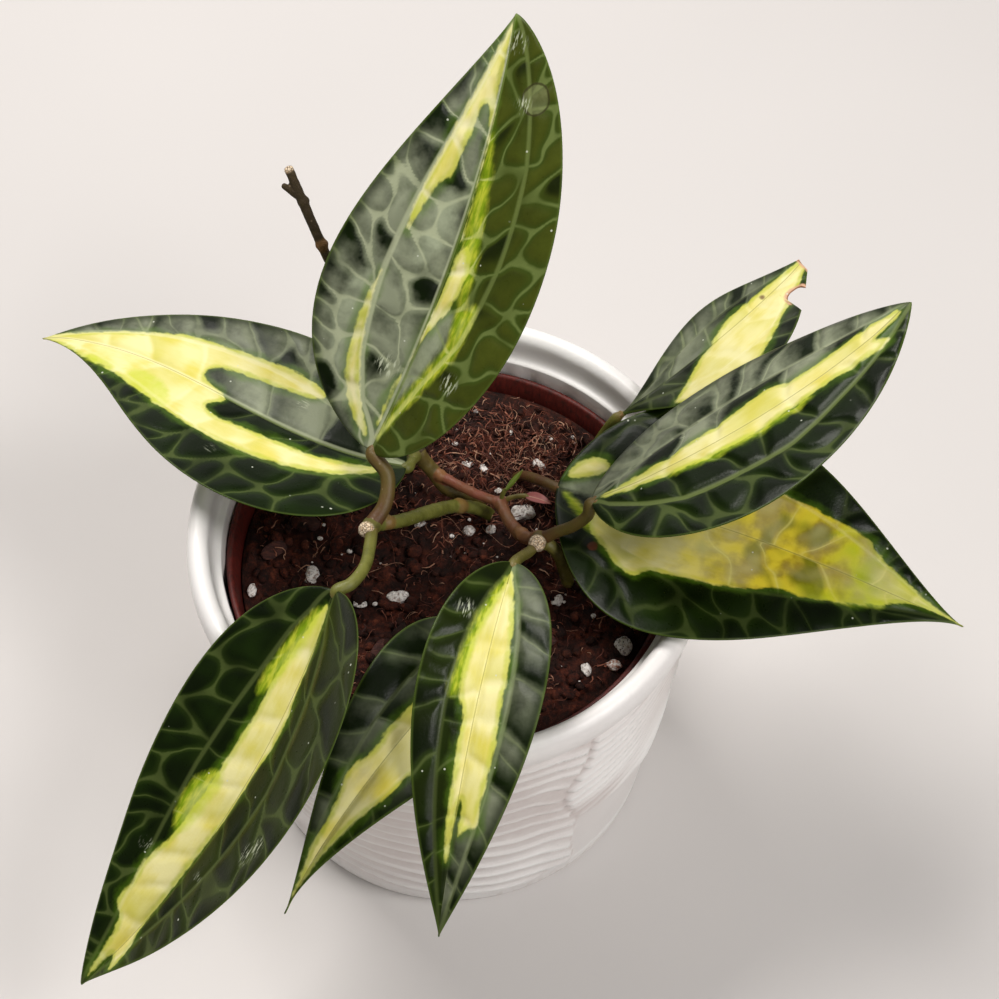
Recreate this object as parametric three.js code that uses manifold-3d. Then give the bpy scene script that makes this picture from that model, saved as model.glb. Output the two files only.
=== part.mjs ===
// A potted climbing plant: large variegated leaves on a few stems, rooted in a plastic growing pot
// that stands inside a white ceramic outer pot.
// Millimetres, +Z up. The origin is the centre of the outer pot's flat base, and the front is the -Y side.

import * as THREE from 'three';
import { mergeVertices } from 'three/addons/utils/BufferGeometryUtils.js';
import Module from 'manifold-3d';

const wasm = await Module();
wasm.setup();

// Driving dimensions

const GAP = 0.35; // clearance between pieces that touch
const ROUND = 48; // facets round every pot wall

const OUTER_POT = {
  baseRadius: 64.5,
  neckRadius: 72.9,
  neckHeight: 117.5,
  rimRadius: 75,
  height: 129.5,
  mouthRadius: 68.4,
  ledgeHeight: 119.8,
  throatRadius: 65.7,
  floorRadius: 58,
  floorHeight: 6,
};

const GROWING_POT = {
  floorRadius: 50,
  floorThickness: 1.3,
  neckRadius: 62.9,
  neckHeight: 108.5,
  lipRadius: 64.9,
  height: 115,
  wall: 1,
  drainRadius: 4,
  drainCircle: 36,
  drainCount: 6,
};

const SOIL = { edgeHeight: 106.8, mound: 2.2, bump: 0.7 };

const LEAF = { thickness: 1.6, edgeThickness: 0.8, sections: 15, across: 6 };

const STEM_FACETS = 8; // round every stem and leaf stalk

// Solids: closed meshes that can be joined and cut

function toSolid(geometry) {
  const bare = geometry.clone();
  bare.deleteAttribute('normal');
  bare.deleteAttribute('uv');
  const merged = mergeVertices(bare, 1e-4);
  const index = merged.index.array;
  const corners = [];
  for (let i = 0; i < index.length; i += 3) {
    const [a, b, c] = [index[i], index[i + 1], index[i + 2]];
    if (a !== b && b !== c && c !== a) corners.push(a, b, c);
  }
  const mesh = new wasm.Mesh({
    numProp: 3,
    vertProperties: new Float32Array(merged.attributes.position.array),
    triVerts: new Uint32Array(corners),
  });
  mesh.merge();
  return new wasm.Manifold(mesh);
}

function toGeometry(solid) {
  const mesh = solid.getMesh();
  const geometry = new THREE.BufferGeometry();
  geometry.setAttribute('position', new THREE.BufferAttribute(new Float32Array(mesh.vertProperties), 3));
  geometry.setIndex(new THREE.BufferAttribute(new Uint32Array(mesh.triVerts), 1));
  geometry.computeVertexNormals();
  return geometry;
}

function join(solids) {
  return solids.reduce((whole, next) => whole.add(next));
}

function cutAll(solid, cutters) {
  return cutters.reduce((left, cutter) => left.subtract(cutter), solid);
}

function vector([x, y, z]) {
  return new THREE.Vector3(x, y, z);
}

// A round bar that follows a smooth curve through its points, swollen all round by extra
function bar(points, radius, extra = 0) {
  const stops = points.map(vector);
  const [first, second] = stops;
  const [beforeLast, last] = stops.slice(-2);
  const lead = first.clone().sub(second).setLength(extra);
  const tail = last.clone().sub(beforeLast).setLength(extra);
  first.add(lead);
  last.add(tail);
  const section = new THREE.Shape().absarc(0, 0, radius + extra, 0, 2 * Math.PI);
  const path = new THREE.CatmullRomCurve3(stops, false, 'centripetal');
  const steps = 2 * (points.length - 1) + 1;
  const options = { steps, bevelEnabled: false, extrudePath: path, curveSegments: STEM_FACETS / 2 };
  return toSolid(new THREE.ExtrudeGeometry(section, options));
}

// A slightly flattened ball, the swelling where a leaf or a side shoot grows
function swelling(centre, radius, squash = 1) {
  const ball = new THREE.SphereGeometry(radius, 8, 5);
  ball.scale(1, 1, squash);
  ball.translate(...centre);
  return toSolid(ball);
}

// A body turned about the vertical axis from a list of [radius, height] points
function turned(profile) {
  const points = profile.map(([radius, height]) => new THREE.Vector2(radius, height));
  const body = new THREE.LatheGeometry(points, ROUND);
  body.rotateX(Math.PI / 2);
  return body;
}

// Repeatable random numbers between 0 and 1
function makeRandom(seed) {
  let state = seed;
  return () => {
    state = (state * 16807) % 2147483647;
    return state / 2147483647;
  };
}

// The outer pot: thick rounded rim, a ledge below the mouth, a tapering body and a flat base

function outerPot() {
  const p = OUTER_POT;
  const profile = [
    [0, 0],
    [p.baseRadius - 2, 0],
    [p.baseRadius - 0.5, 0.7],
    [p.baseRadius, 2.2],
    [p.baseRadius + 0.4, 8],
    [p.neckRadius, p.neckHeight],
    [p.rimRadius - 0.7, p.neckHeight + 2.2],
    [p.rimRadius, p.neckHeight + 5],
    [p.rimRadius, p.height - 3.4],
    [p.rimRadius - 1, p.height - 1],
    [p.rimRadius - 2.8, p.height],
    [p.mouthRadius + 2, p.height - 0.1],
    [p.mouthRadius + 0.5, p.height - 1.6],
    [p.mouthRadius, p.height - 3.5],
    [p.mouthRadius - 0.2, p.ledgeHeight + 0.5],
    [p.throatRadius + 0.2, p.ledgeHeight],
    [p.throatRadius, p.ledgeHeight - 0.8],
    [p.floorRadius + 1, p.floorHeight + 1.5],
    [p.floorRadius - 0.5, p.floorHeight],
    [0, p.floorHeight],
  ];
  return toSolid(turned(profile));
}

// The growing pot: a thin plastic cup with a lip and a ring of drain holes in its floor

function innerRadius(height) {
  const p = GROWING_POT;
  const bottom = OUTER_POT.floorHeight + GAP + p.floorThickness;
  const rise = (height - bottom) / (p.neckHeight - 1 - bottom);
  return p.floorRadius + rise * (p.neckRadius - p.wall - p.floorRadius);
}

function growingPot() {
  const p = GROWING_POT;
  const bottom = OUTER_POT.floorHeight + GAP;
  const profile = [
    [0, bottom],
    [p.floorRadius - 0.3, bottom],
    [p.floorRadius + p.wall, bottom + 1.2],
    [p.neckRadius, p.neckHeight],
    [p.lipRadius - 0.3, p.neckHeight + 0.5],
    [p.lipRadius, p.height - 0.5],
    [p.lipRadius - 0.5, p.height],
    [p.lipRadius - 1.4, p.height],
    [p.lipRadius - 1.8, p.height - 0.6],
    [innerRadius(p.neckHeight - 1), p.neckHeight - 1],
    [innerRadius(bottom + p.floorThickness), bottom + p.floorThickness],
    [0, bottom + p.floorThickness],
  ];
  const holes = [];
  for (let i = 0; i < p.drainCount; i += 1) {
    const angle = (2 * Math.PI * i) / p.drainCount;
    const hole = new THREE.CylinderGeometry(p.drainRadius, p.drainRadius, 6, 16);
    hole.rotateX(Math.PI / 2);
    hole.translate(p.drainCircle * Math.cos(angle), p.drainCircle * Math.sin(angle), bottom);
    holes.push(toSolid(hole));
  }
  return cutAll(toSolid(turned(profile)), holes);
}

// The soil: fills the growing pot and ends in a low uneven mound

function soilHeight(x, y) {
  const reach = Math.min(1, Math.hypot(x, y) / 61);
  const mound = SOIL.mound * (1 - reach * reach);
  const waves = Math.sin(x / 9 + 1) * Math.cos(y / 7) + 0.6 * Math.sin(x / 5 - y / 6);
  return SOIL.edgeHeight + mound + SOIL.bump * waves * (1 - reach ** 6);
}

function soilBody() {
  const bottom = OUTER_POT.floorHeight + 2 * GAP + GROWING_POT.floorThickness;
  const edge = innerRadius(SOIL.edgeHeight) - GAP - 0.1;
  const profile = [
    [0, bottom],
    [innerRadius(bottom) - GAP - 0.1, bottom],
    [edge, SOIL.edgeHeight],
  ];
  const rings = 9;
  for (let i = rings - 1; i >= 0; i -= 1) profile.push([(edge * i) / rings, SOIL.edgeHeight]);
  const body = turned(profile);
  const place = body.attributes.position;
  for (let i = 0; i < place.count; i += 1) {
    const [x, y] = [place.getX(i), place.getY(i)];
    if (place.getZ(i) > bottom + 1) place.setZ(i, soilHeight(x, y));
  }
  return toSolid(body);
}

// The stems. The main stem carries a dry twig and, lower down, a shoot that arches over to the right-hand
// node and roots again there. The left stem leans out on its own under that shoot.

const LEFT_NODE = [-21.1, -8.9, 142];
const RIGHT_NODE = [25.4, -4.6, 128.1];
const MIDDLE_NODE = [14.2, 12.7, 120];
const BACK_NODE = [-10, 24.1, 128];
const SHOOT_BUD = [-3.6, 21, 121.5];

const MAIN_STEM = {
  runs: [
    {
      radius: 2.2,
      points: [
        [9.4, 21.3, 92], [9.4, 21.3, 104], [4.5, 19.8, 112.5], [-1, 19.5, 116.5],
        [-6, 22.5, 122], BACK_NODE,
      ],
    },
    {
      radius: 1.4,
      points: [
        BACK_NODE, [-17, 34, 141], [-26, 45, 160], [-35, 56, 178], [-45, 69, 200],
      ],
    },
    { radius: 0.9, points: [[-41.4, 64.5, 192], [-46.5, 66, 196.5]] },
    { radius: 1.5, points: [SHOOT_BUD, [5.3, 15.7, 121.5], MIDDLE_NODE] },
    { radius: 2, points: [MIDDLE_NODE, [17.7, 3.2, 123.3], [21.5, -2.7, 126.6], RIGHT_NODE] },
    {
      radius: 1.9,
      points: [
        RIGHT_NODE, [29.5, -5.8, 126], [32.5, -6.8, 118.5], [34.4, -7.2, 107],
        [34.4, -7.2, 92],
      ],
    },
    { radius: 2.6, points: [RIGHT_NODE, [24.6, -7.9, 131.5]] },
  ],
  swellings: [
    { centre: RIGHT_NODE, radius: 3.1 },
    { centre: MIDDLE_NODE, radius: 2.6 },
    { centre: BACK_NODE, radius: 2.8 },
    { centre: SHOOT_BUD, radius: 2.2 },
    { centre: [-41.3, 64.4, 191.8], radius: 1.9 },
  ],
};

const LEFT_STEM = {
  runs: [
    {
      radius: 2.1,
      points: [
        [12, 16.5, 92], [12, 16.5, 104], [8.5, 15, 112.5], [2.2, 12.7, 118], [-5.9, 4.9, 127],
        [-13.8, -3.8, 136], LEFT_NODE,
      ],
    },
    { radius: 2.4, points: [LEFT_NODE, [-22.6, -12.2, 144.3]] },
  ],
  swellings: [
    { centre: LEFT_NODE, radius: 3 },
    { centre: [2.2, 12.7, 118], radius: 2.5 },
  ],
};

function stem({ runs, swellings }, extra = 0) {
  const bars = runs.map((run) => bar(run.points, run.radius, extra));
  const balls = swellings.map((ball) => swelling(ball.centre, ball.radius + extra));
  return join([...bars, ...balls]);
}

// The leaves. Each blade starts at its base and runs along a bending midrib: heading and rise are the
// midrib's compass angle from +X and its slope at the base, turn and bend how they change towards the tip,
// and turnLate is the part of the turn that comes late. roll tips the blade sideways, twist adds to it
// towards the tip, and fold lifts both halves from the midrib. Angles are in degrees, left and right are as
// seen from the base, and base and taper shape each side's outline.

const LEAVES = [
  {
    name: 'leaf_top',
    petiole: {
      radius: 2.2,
      points: [
        LEFT_NODE, [-17.6, -3.6, 145], [-17.2, 3.1, 149], [-21.3, 8.3, 152],
      ],
    },
    start: [-21.8, 8.9, 152],
    length: 125.2, halfLeft: 31.3, halfRight: 30.7,
    heading: 49.7, turn: 27.4, turnLate: 1.7, rise: 50.8, bend: -12.8, roll: -0.8, twist: 1.8, fold: 20,
    base: 0.61, taperLeft: 1.12, taperRight: 0.75,
  },
  {
    name: 'leaf_left',
    petiole: { radius: 1.8, points: [BACK_NODE, [-11.6, 20, 131], [-12.7, 15.6, 133.6]] },
    start: [-12.7, 15.6, 134],
    length: 121.9, halfLeft: 34.2, halfRight: 30.7,
    heading: 177.2, turn: -110.6, turnLate: 108, rise: 8.4, bend: -19, roll: -8.3, twist: 2.4, fold: 9,
    base: 0.6, taperLeft: 1.31, taperRight: 1.17,
  },
  {
    name: 'leaf_front_left',
    petiole: {
      radius: 1.8,
      points: [
        LEFT_NODE, [-21.1, -17.2, 145], [-22.1, -26.5, 148.5], [-25.4, -32.6, 150.2],
        [-28.8, -34.4, 149.8],
      ],
    },
    start: [-28.8, -34.2, 150],
    length: 135.4, halfLeft: 32.3, halfRight: 30.1,
    heading: -109.8, turn: -37.4, turnLate: -6.4, rise: -27.3, bend: -13.4,
    roll: -32.2, twist: 31, fold: 20.6,
    base: 0.48, taperLeft: 1.23, taperRight: 0.87,
  },
  {
    name: 'leaf_front_low',
    petiole: {
      radius: 1.8,
      points: [
        [22, -15, 94], [22, -15, 104], [20, -21.5, 116], [15, -30.6, 126],
        [12.6, -36.4, 128.7],
      ],
    },
    start: [12.6, -36.4, 129.5],
    length: 99.2, halfLeft: 21, halfRight: 19.7,
    heading: -121.8, turn: -23.1, turnLate: 16.9, rise: 18.9, bend: -72.3,
    roll: 2.6, twist: -2.6, fold: 12.1,
    base: 0.51, taperLeft: 1.86, taperRight: 1.61,
  },
  {
    name: 'leaf_front_centre',
    petiole: {
      radius: 1.6,
      points: [
        RIGHT_NODE, [22.8, -10, 131.1], [20, -17.2, 139.8], [18.1, -23.7, 147],
      ],
    },
    start: [18.1, -23.7, 147.4],
    length: 104.5, halfLeft: 18, halfRight: 17,
    heading: -103.9, turn: 5.7, turnLate: 0, rise: 5.2, bend: -55.3,
    roll: -0.1, twist: -6.2, fold: 16.5,
    base: 0.61, taperLeft: 1.12, taperRight: 1.2,
  },
  {
    name: 'leaf_right_upper',
    petiole: {
      radius: 1.8,
      points: [
        RIGHT_NODE, [30.2, -4.2, 132], [34.8, -4.6, 136.2], [38.6, -3.9, 140.9],
        [39.4, -2.2, 144.3],
      ],
    },
    start: [39.4, -2.1, 144.7],
    length: 102.7, halfLeft: 28.8, halfRight: 30.7,
    heading: 12.8, turn: 16, turnLate: 8.4, rise: 25.3, bend: 1.5, roll: 22.8, twist: 2.3, fold: -5.1,
    base: 0.6, taperLeft: 0.83, taperRight: 0.93,
  },
  {
    name: 'leaf_right_lower',
    petiole: {
      radius: 1.7,
      points: [
        [18, 30, 94], [18, 30, 104], [20.5, 26.5, 113.5], [26.4, 18.6, 122.8],
        [30.4, 14.2, 126.5],
      ],
    },
    start: [30.4, 13.3, 127.7],
    length: 122.1, halfLeft: 34.6, halfRight: 40.9,
    heading: -13.8, turn: -20.9, turnLate: 15.1, rise: 8, bend: -22, roll: -4.9, twist: -2.4, fold: 9,
    base: 0.7, taperLeft: 1.4, taperRight: 1.54,
  },
  {
    name: 'leaf_back_right',
    petiole: {
      radius: 1.6,
      points: [
        [40, 34, 94], [40, 34, 104], [41, 34, 113], [44.8, 35.3, 124.3], [48.3, 36.1, 131.3],
      ],
    },
    start: [48.3, 36.1, 131.5],
    length: 76, halfLeft: 15.8, halfRight: 23.3,
    heading: 23.4, turn: 23.4, turnLate: 1.6, rise: 31.7, bend: -20, roll: 23.4, twist: 2.5, fold: 0.3,
    base: 1.59, taperLeft: 1.54, taperRight: 1.63,
  },
];

const YOUNG_LEAVES = [
  {
    name: 'young_leaf_red',
    petiole: { radius: 0.8, points: [MIDDLE_NODE, [17.6, 13.6, 121.8], [21.7, 13.1, 123.4]] },
    start: [21.5, 13.1, 123.4],
    length: 8.2, halfLeft: 1.8, halfRight: 1.8,
    heading: -15, turn: 0, turnLate: 0, rise: 12, bend: -40, roll: 0, twist: 0, fold: 10,
    base: 0.6, taperLeft: 1, taperRight: 1,
    thickness: 0.9, sections: 8,
  },
  {
    name: 'young_leaf_green',
    petiole: { radius: 0.7, points: [MIDDLE_NODE, [14.9, 13.6, 123.2], [15.6, 14, 125.4]] },
    start: [15.5, 14, 125],
    length: 12, halfLeft: 1.3, halfRight: 1.3,
    heading: 0, turn: 0, turnLate: 0, rise: 64, bend: 4, roll: 0, twist: 0, fold: 10,
    base: 0.6, taperLeft: 0.9, taperRight: 0.9,
    thickness: 0.9, sections: 8,
  },
];

// The outline of one side, 0 at both ends and 1 at its widest
function outline(t, base, taper) {
  const widest = base / (base + taper);
  return (t ** base * (1 - t) ** taper) / (widest ** base * (1 - widest) ** taper);
}

// The midrib's points with the side and up directions of the blade at each of them
function midrib(leaf, count) {
  const frames = [];
  const point = vector(leaf.start);
  let last = 0;
  for (let i = 0; i < count; i += 1) {
    const t = (1 - Math.cos((Math.PI * i) / (count - 1))) / 2;
    const middle = (t + last) / 2;
    const direction = along(leaf, middle);
    point.addScaledVector(direction, leaf.length * (t - last));
    last = t;
    const forward = along(leaf, t);
    const heading = THREE.MathUtils.degToRad(headingAt(leaf, t));
    const side = new THREE.Vector3(Math.sin(heading), -Math.cos(heading), 0);
    const up = new THREE.Vector3().crossVectors(side, forward);
    const roll = THREE.MathUtils.degToRad(leaf.roll + leaf.twist * t);
    side.applyAxisAngle(forward, -roll);
    up.applyAxisAngle(forward, -roll);
    frames.push({ t, point: point.clone(), side, up });
  }
  return frames;
}

function headingAt(leaf, t) {
  return leaf.heading + leaf.turn * t + leaf.turnLate * t * t;
}

function along(leaf, t) {
  const heading = THREE.MathUtils.degToRad(headingAt(leaf, t));
  const rise = THREE.MathUtils.degToRad(leaf.rise + leaf.bend * t);
  return new THREE.Vector3(
    Math.cos(rise) * Math.cos(heading),
    Math.cos(rise) * Math.sin(heading),
    Math.sin(rise),
  );
}

// A closed skin over rings that all have the same number of points
function loft(rings) {
  const size = rings[0].length;
  const positions = rings.flat().flatMap((point) => point.toArray());
  const triangles = [];
  for (let i = 0; i + 1 < rings.length; i += 1) {
    for (let j = 0; j < size; j += 1) {
      const [a, b] = [i * size + j, i * size + ((j + 1) % size)];
      triangles.push(a, b, b + size, a, b + size, a + size);
    }
  }
  const lastRing = (rings.length - 1) * size;
  for (let j = 1; j + 1 < size; j += 1) {
    triangles.push(0, j + 1, j);
    triangles.push(lastRing, lastRing + j, lastRing + j + 1);
  }
  const geometry = new THREE.BufferGeometry();
  geometry.setAttribute('position', new THREE.Float32BufferAttribute(positions, 3));
  geometry.setIndex(triangles);
  return geometry;
}

function blade(leaf) {
  const thickness = leaf.thickness ?? LEAF.thickness;
  const edge = thickness * (LEAF.edgeThickness / LEAF.thickness);
  const narrowest = 0.45 * thickness;
  const fold = THREE.MathUtils.degToRad(leaf.fold);
  const rings = midrib(leaf, leaf.sections ?? LEAF.sections).map(({ t, point, side, up }) => {
    const left = Math.max(narrowest, leaf.halfLeft * outline(t, leaf.base, leaf.taperLeft));
    const right = Math.max(narrowest, leaf.halfRight * outline(t, leaf.base, leaf.taperRight));
    const at = (s, face) => {
      const width = (s > 0 ? right : left) * Math.abs(s);
      const half = (thickness + (edge - thickness) * s * s) / 2;
      return point
        .clone()
        .addScaledVector(side, Math.sign(s) * width * Math.cos(fold))
        .addScaledVector(up, width * Math.sin(fold) + face * half);
    };
    const top = [];
    const under = [];
    for (let k = 0; k <= LEAF.across; k += 1) {
      const s = (2 * k) / LEAF.across - 1;
      top.push(at(s, 1));
      under.unshift(at(s, -1));
    }
    return [...under, ...top];
  });
  return toSolid(loft(rings));
}

// The leaf stalk runs on a little way under the blade, so that the two make one body
function petiole(leaf, extra = 0) {
  const { radius, points } = leaf.petiole;
  const under = vector(leaf.start).addScaledVector(along(leaf, 0), 1.6 * radius);
  return bar([...points, [under.x, under.y, under.z - 0.45 * radius]], radius, extra);
}

function leafSolid(leaf, stemClearance) {
  return petiole(leaf).subtract(stemClearance).add(blade(leaf));
}

// The back right leaf lost its tip, and a bite is missing from the edge beside the break
function breakTip(solid, leaf) {
  const { t, point, side, up } = midrib(leaf, LEAF.sections).find((frame) => frame.t > 0.86);
  const inLeaf = new THREE.Matrix4().makeBasis(along(leaf, t), up, side).setPosition(point);
  const edge = leaf.halfRight * outline(t, leaf.base, leaf.taperRight);
  const tip = new THREE.BoxGeometry(40, 60, 60);
  tip.translate(20 + 2.5, 0, 0);
  tip.rotateY(THREE.MathUtils.degToRad(-12));
  const bite = new THREE.CylinderGeometry(3, 3, 20, 12);
  bite.translate(-7, 0, edge + 3.4);
  return cutAll(solid, [tip, bite].map((cutter) => toSolid(cutter.applyMatrix4(inLeaf))));
}

// Loose grains of perlite, as [x, y, length, width, turn in degrees], and chips of bark likewise

const PERLITE = [
  [21, 15.6, 7.2, 5.2, 10],
  [-15, -13.4, 6.4, 4.6, 20],
  [-40.5, -6, 6.2, 4, 80],
  [-57.6, -10.9, 4, 2.8, 80],
  [25.5, 33, 4.6, 2.8, -35],
  [4, 32.6, 3.8, 2.6, 5],
  [9, 31.4, 3.6, 2.4, -50],
  [13.8, 24.2, 2.6, 2, 0],
  [5, 9.5, 3.8, 3.2, 0],
  [11.6, 9.8, 3.4, 2.8, 70],
  [-9.6, 11.5, 3.8, 2, 15],
  [31.4, -13.6, 3.6, 3, 60],
  [-25.8, -15.6, 4, 2.2, 0],
  [50.2, -27.2, 5.6, 5.2, 80],
  [47.4, -33.3, 4.6, 3, -10],
  [39.3, -35, 4.2, 2.8, 100],
];

const BARK = [
  [-52, 2, 9, 5, 40],
  [-42, 12, 7, 4.5, -30],
  [-33, -19, 6.5, 5, 10],
  [-19, -31, 8, 4.5, 60],
  [28, -27, 7, 4, 30],
];

function grain([x, y, length, width, turn], seed, extra = 0) {
  const random = makeRandom(seed);
  const lump = mergeVertices(stripped(new THREE.IcosahedronGeometry(1, 1)));
  const place = lump.attributes.position;
  for (let i = 0; i < place.count; i += 1) {
    const swell = 0.88 + 0.2 * random();
    place.setXYZ(i, place.getX(i) * swell, place.getY(i) * swell, place.getZ(i) * swell);
  }
  lump.scale(length / 2 + extra, width / 2 + extra, width / 2.4 + extra);
  lump.rotateZ(THREE.MathUtils.degToRad(turn));
  lump.translate(x, y, soilHeight(x, y) + width * 0.12);
  return toSolid(lump);
}

function chip([x, y, length, width, turn], seed, extra = 0) {
  const random = makeRandom(seed);
  const size = [length, width, 2.4].map((side) => side + 2 * extra);
  const slab = mergeVertices(stripped(new THREE.BoxGeometry(...size, 3, 2, 1)));
  const place = slab.attributes.position;
  for (let i = 0; i < place.count; i += 1) {
    const shift = () => (random() - 0.5) * 0.9;
    place.setXYZ(i, place.getX(i) + shift(), place.getY(i) + shift(), place.getZ(i) + shift() * 0.7);
  }
  slab.rotateX(THREE.MathUtils.degToRad(8));
  slab.rotateZ(THREE.MathUtils.degToRad(turn));
  slab.translate(x, y, soilHeight(x, y) + 0.5);
  return toSolid(slab);
}

function stripped(geometry) {
  geometry.deleteAttribute('normal');
  geometry.deleteAttribute('uv');
  return geometry;
}

// Finishes

const FINISH = {
  ceramic: { color: 0xf2eeeb, roughness: 0.35, metalness: 0 },
  plastic: { color: 0x6b2015, roughness: 0.5, metalness: 0 },
  soil: { color: 0x2e1610, roughness: 1, metalness: 0 },
  perlite: { color: 0xe6d9d0, roughness: 0.9, metalness: 0 },
  bark: { color: 0x4a271c, roughness: 0.95, metalness: 0 },
  stem: { color: 0x5f5a22, roughness: 0.55, metalness: 0 },
  leaf: { color: 0x2e4a16, roughness: 0.3, metalness: 0 },
  youngRed: { color: 0x9a4a42, roughness: 0.45, metalness: 0 },
  youngGreen: { color: 0x6f8428, roughness: 0.45, metalness: 0 },
};

const plant = new THREE.Group();

function place(name, solid, finish) {
  const mesh = new THREE.Mesh(toGeometry(solid), new THREE.MeshStandardMaterial(FINISH[finish]));
  mesh.name = name;
  plant.add(mesh);
}

// Assembly

place('ceramic_pot', outerPot(), 'ceramic');
place('nursery_pot', growingPot(), 'plastic');

place('main_stem', stem(MAIN_STEM), 'stem');
place('left_stem', stem(LEFT_STEM), 'stem');
const stemClearance = join([stem(MAIN_STEM, GAP), stem(LEFT_STEM, GAP)]);

for (const leaf of LEAVES) {
  const solid = leafSolid(leaf, stemClearance);
  place(leaf.name, leaf.name === 'leaf_back_right' ? breakTip(solid, leaf) : solid, 'leaf');
}
for (const leaf of YOUNG_LEAVES) {
  place(leaf.name, leafSolid(leaf, stemClearance), leaf.name.endsWith('red') ? 'youngRed' : 'youngGreen');
}

const looseBits = [
  ...PERLITE.map((spot, i) => ({ name: `perlite_${String(i + 1).padStart(2, '0')}`, shape: grain, spot })),
  ...BARK.map((spot, i) => ({ name: `bark_${i + 1}`, shape: chip, spot })),
];
const pockets = looseBits.map(({ name, shape, spot }, i) => {
  const seed = 11 + 7 * i;
  place(name, shape(spot, seed), name.split('_')[0]);
  return shape(spot, seed, GAP);
});

const rooted = LEAVES.filter((leaf) => leaf.petiole.points[0][2] < SOIL.edgeHeight);
const stalkHoles = rooted.map((leaf) => petiole(leaf, GAP));
place('soil', cutAll(soilBody(), [stemClearance, ...stalkHoles, ...pockets]), 'soil');

export default plant;
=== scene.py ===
"""A potted climbing plant with gold-centred leaves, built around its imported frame.

Sizes and places are in millimetres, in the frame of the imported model: +Z up, the origin at the centre of
the pot's base, the front on the -Y side. make_mesh turns them into Blender's metres. Lights and camera are
placed in metres.
"""

import itertools
import math
from dataclasses import dataclass, field
from types import SimpleNamespace

import bmesh
import bpy
import numpy as np
from mathutils import Matrix, Vector


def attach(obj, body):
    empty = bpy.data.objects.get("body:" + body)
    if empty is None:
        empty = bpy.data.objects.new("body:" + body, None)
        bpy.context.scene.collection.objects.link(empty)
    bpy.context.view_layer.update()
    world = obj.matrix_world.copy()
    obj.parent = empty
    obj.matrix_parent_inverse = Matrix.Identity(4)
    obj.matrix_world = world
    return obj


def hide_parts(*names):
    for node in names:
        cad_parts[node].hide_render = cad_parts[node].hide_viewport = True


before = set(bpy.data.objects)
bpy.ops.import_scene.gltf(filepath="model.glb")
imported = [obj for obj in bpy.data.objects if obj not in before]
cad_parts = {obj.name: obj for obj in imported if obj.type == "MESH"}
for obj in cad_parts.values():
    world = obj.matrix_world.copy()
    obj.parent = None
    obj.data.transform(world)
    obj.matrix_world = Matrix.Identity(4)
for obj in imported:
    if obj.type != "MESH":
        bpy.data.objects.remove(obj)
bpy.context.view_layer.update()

MM = 0.001
TURN = 2 * math.pi


# Small tools for shapes


def smoothstep(low, high, x):
    """Rises smoothly from 0 at low to 1 at high."""
    share = np.clip((np.asarray(x, float) - low) / (high - low), 0, 1)
    return share * share * (3 - 2 * share)


def unit(v):
    """Each vector at length 1."""
    return v / np.maximum(np.linalg.norm(v, axis=-1, keepdims=True), 1e-12)


def lattice_noise(points, size, seed=0):
    """Smooth noise from -1 to 1 at each 3-D point, with lumps about size across."""
    scaled = np.asarray(points, float) / size
    cell = np.floor(scaled).astype(np.int64)
    part = scaled - cell
    part = part * part * (3 - 2 * part)
    total = np.zeros(len(scaled))
    for corner in itertools.product((0, 1), repeat=3):
        key = cell + np.array(corner)
        mixed = key[:, 0] * 73856093 ^ key[:, 1] * 19349663 ^ key[:, 2] * 83492791 ^ (seed * 51787 + 977)
        mixed = (mixed ^ (mixed >> 13)) * 60493 & 0x7FFFFFFF
        mixed = (mixed ^ (mixed >> 11)) * 39119 & 0x7FFFFFFF
        value = (mixed >> 8 & 0xFFFF) / 0x7FFF - 1
        weight = np.prod(np.where(np.array(corner) == 1, part, 1 - part), axis=1)
        total += weight * value
    return total


def flat_noise(a, b, size, seed):
    """The same noise over a flat place."""
    return lattice_noise(np.stack([a, b, np.full_like(a, 0.37)], -1), size, seed)


def through(points, per_span=8):
    """Points along the smooth centripetal curve through the given ones, as the frame's bars have it."""
    stops = [np.array(p, float) for p in points]
    stops = [2 * stops[0] - stops[1], *stops, 2 * stops[-1] - stops[-2]]
    path = []
    for i in range(1, len(stops) - 2):
        p = stops[i - 1 : i + 3]
        knots = np.cumsum([0, *[math.sqrt(max(np.linalg.norm(p[k + 1] - p[k]), 1e-6)) for k in range(3)]])
        for share in np.arange(per_span) / per_span:
            path.append(curve_point(p, knots, knots[1] + share * (knots[2] - knots[1])))
    path.append(stops[-2])
    return np.array(path)


def curve_point(p, knots, at):
    """The curve's point between the middle two of four points, where its knot value is at."""

    def between(a, b, low, high):
        return (a * (high - at) + b * (at - low)) / (high - low)

    k0, k1, k2, k3 = knots
    first = between(p[0], p[1], k0, k1)
    middle = between(p[1], p[2], k1, k2)
    last = between(p[2], p[3], k2, k3)
    return between(between(first, middle, k0, k2), between(middle, last, k1, k3), k1, k2)


def lengths_along(path):
    """How far along the path each of its points is."""
    return np.concatenate([[0], np.cumsum(np.linalg.norm(np.diff(path, axis=0), axis=1))])


NO_BAR_RUNS = (0.31, 0.17, 0.93)  # a direction that no bar starts in, to find its first side from


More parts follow.
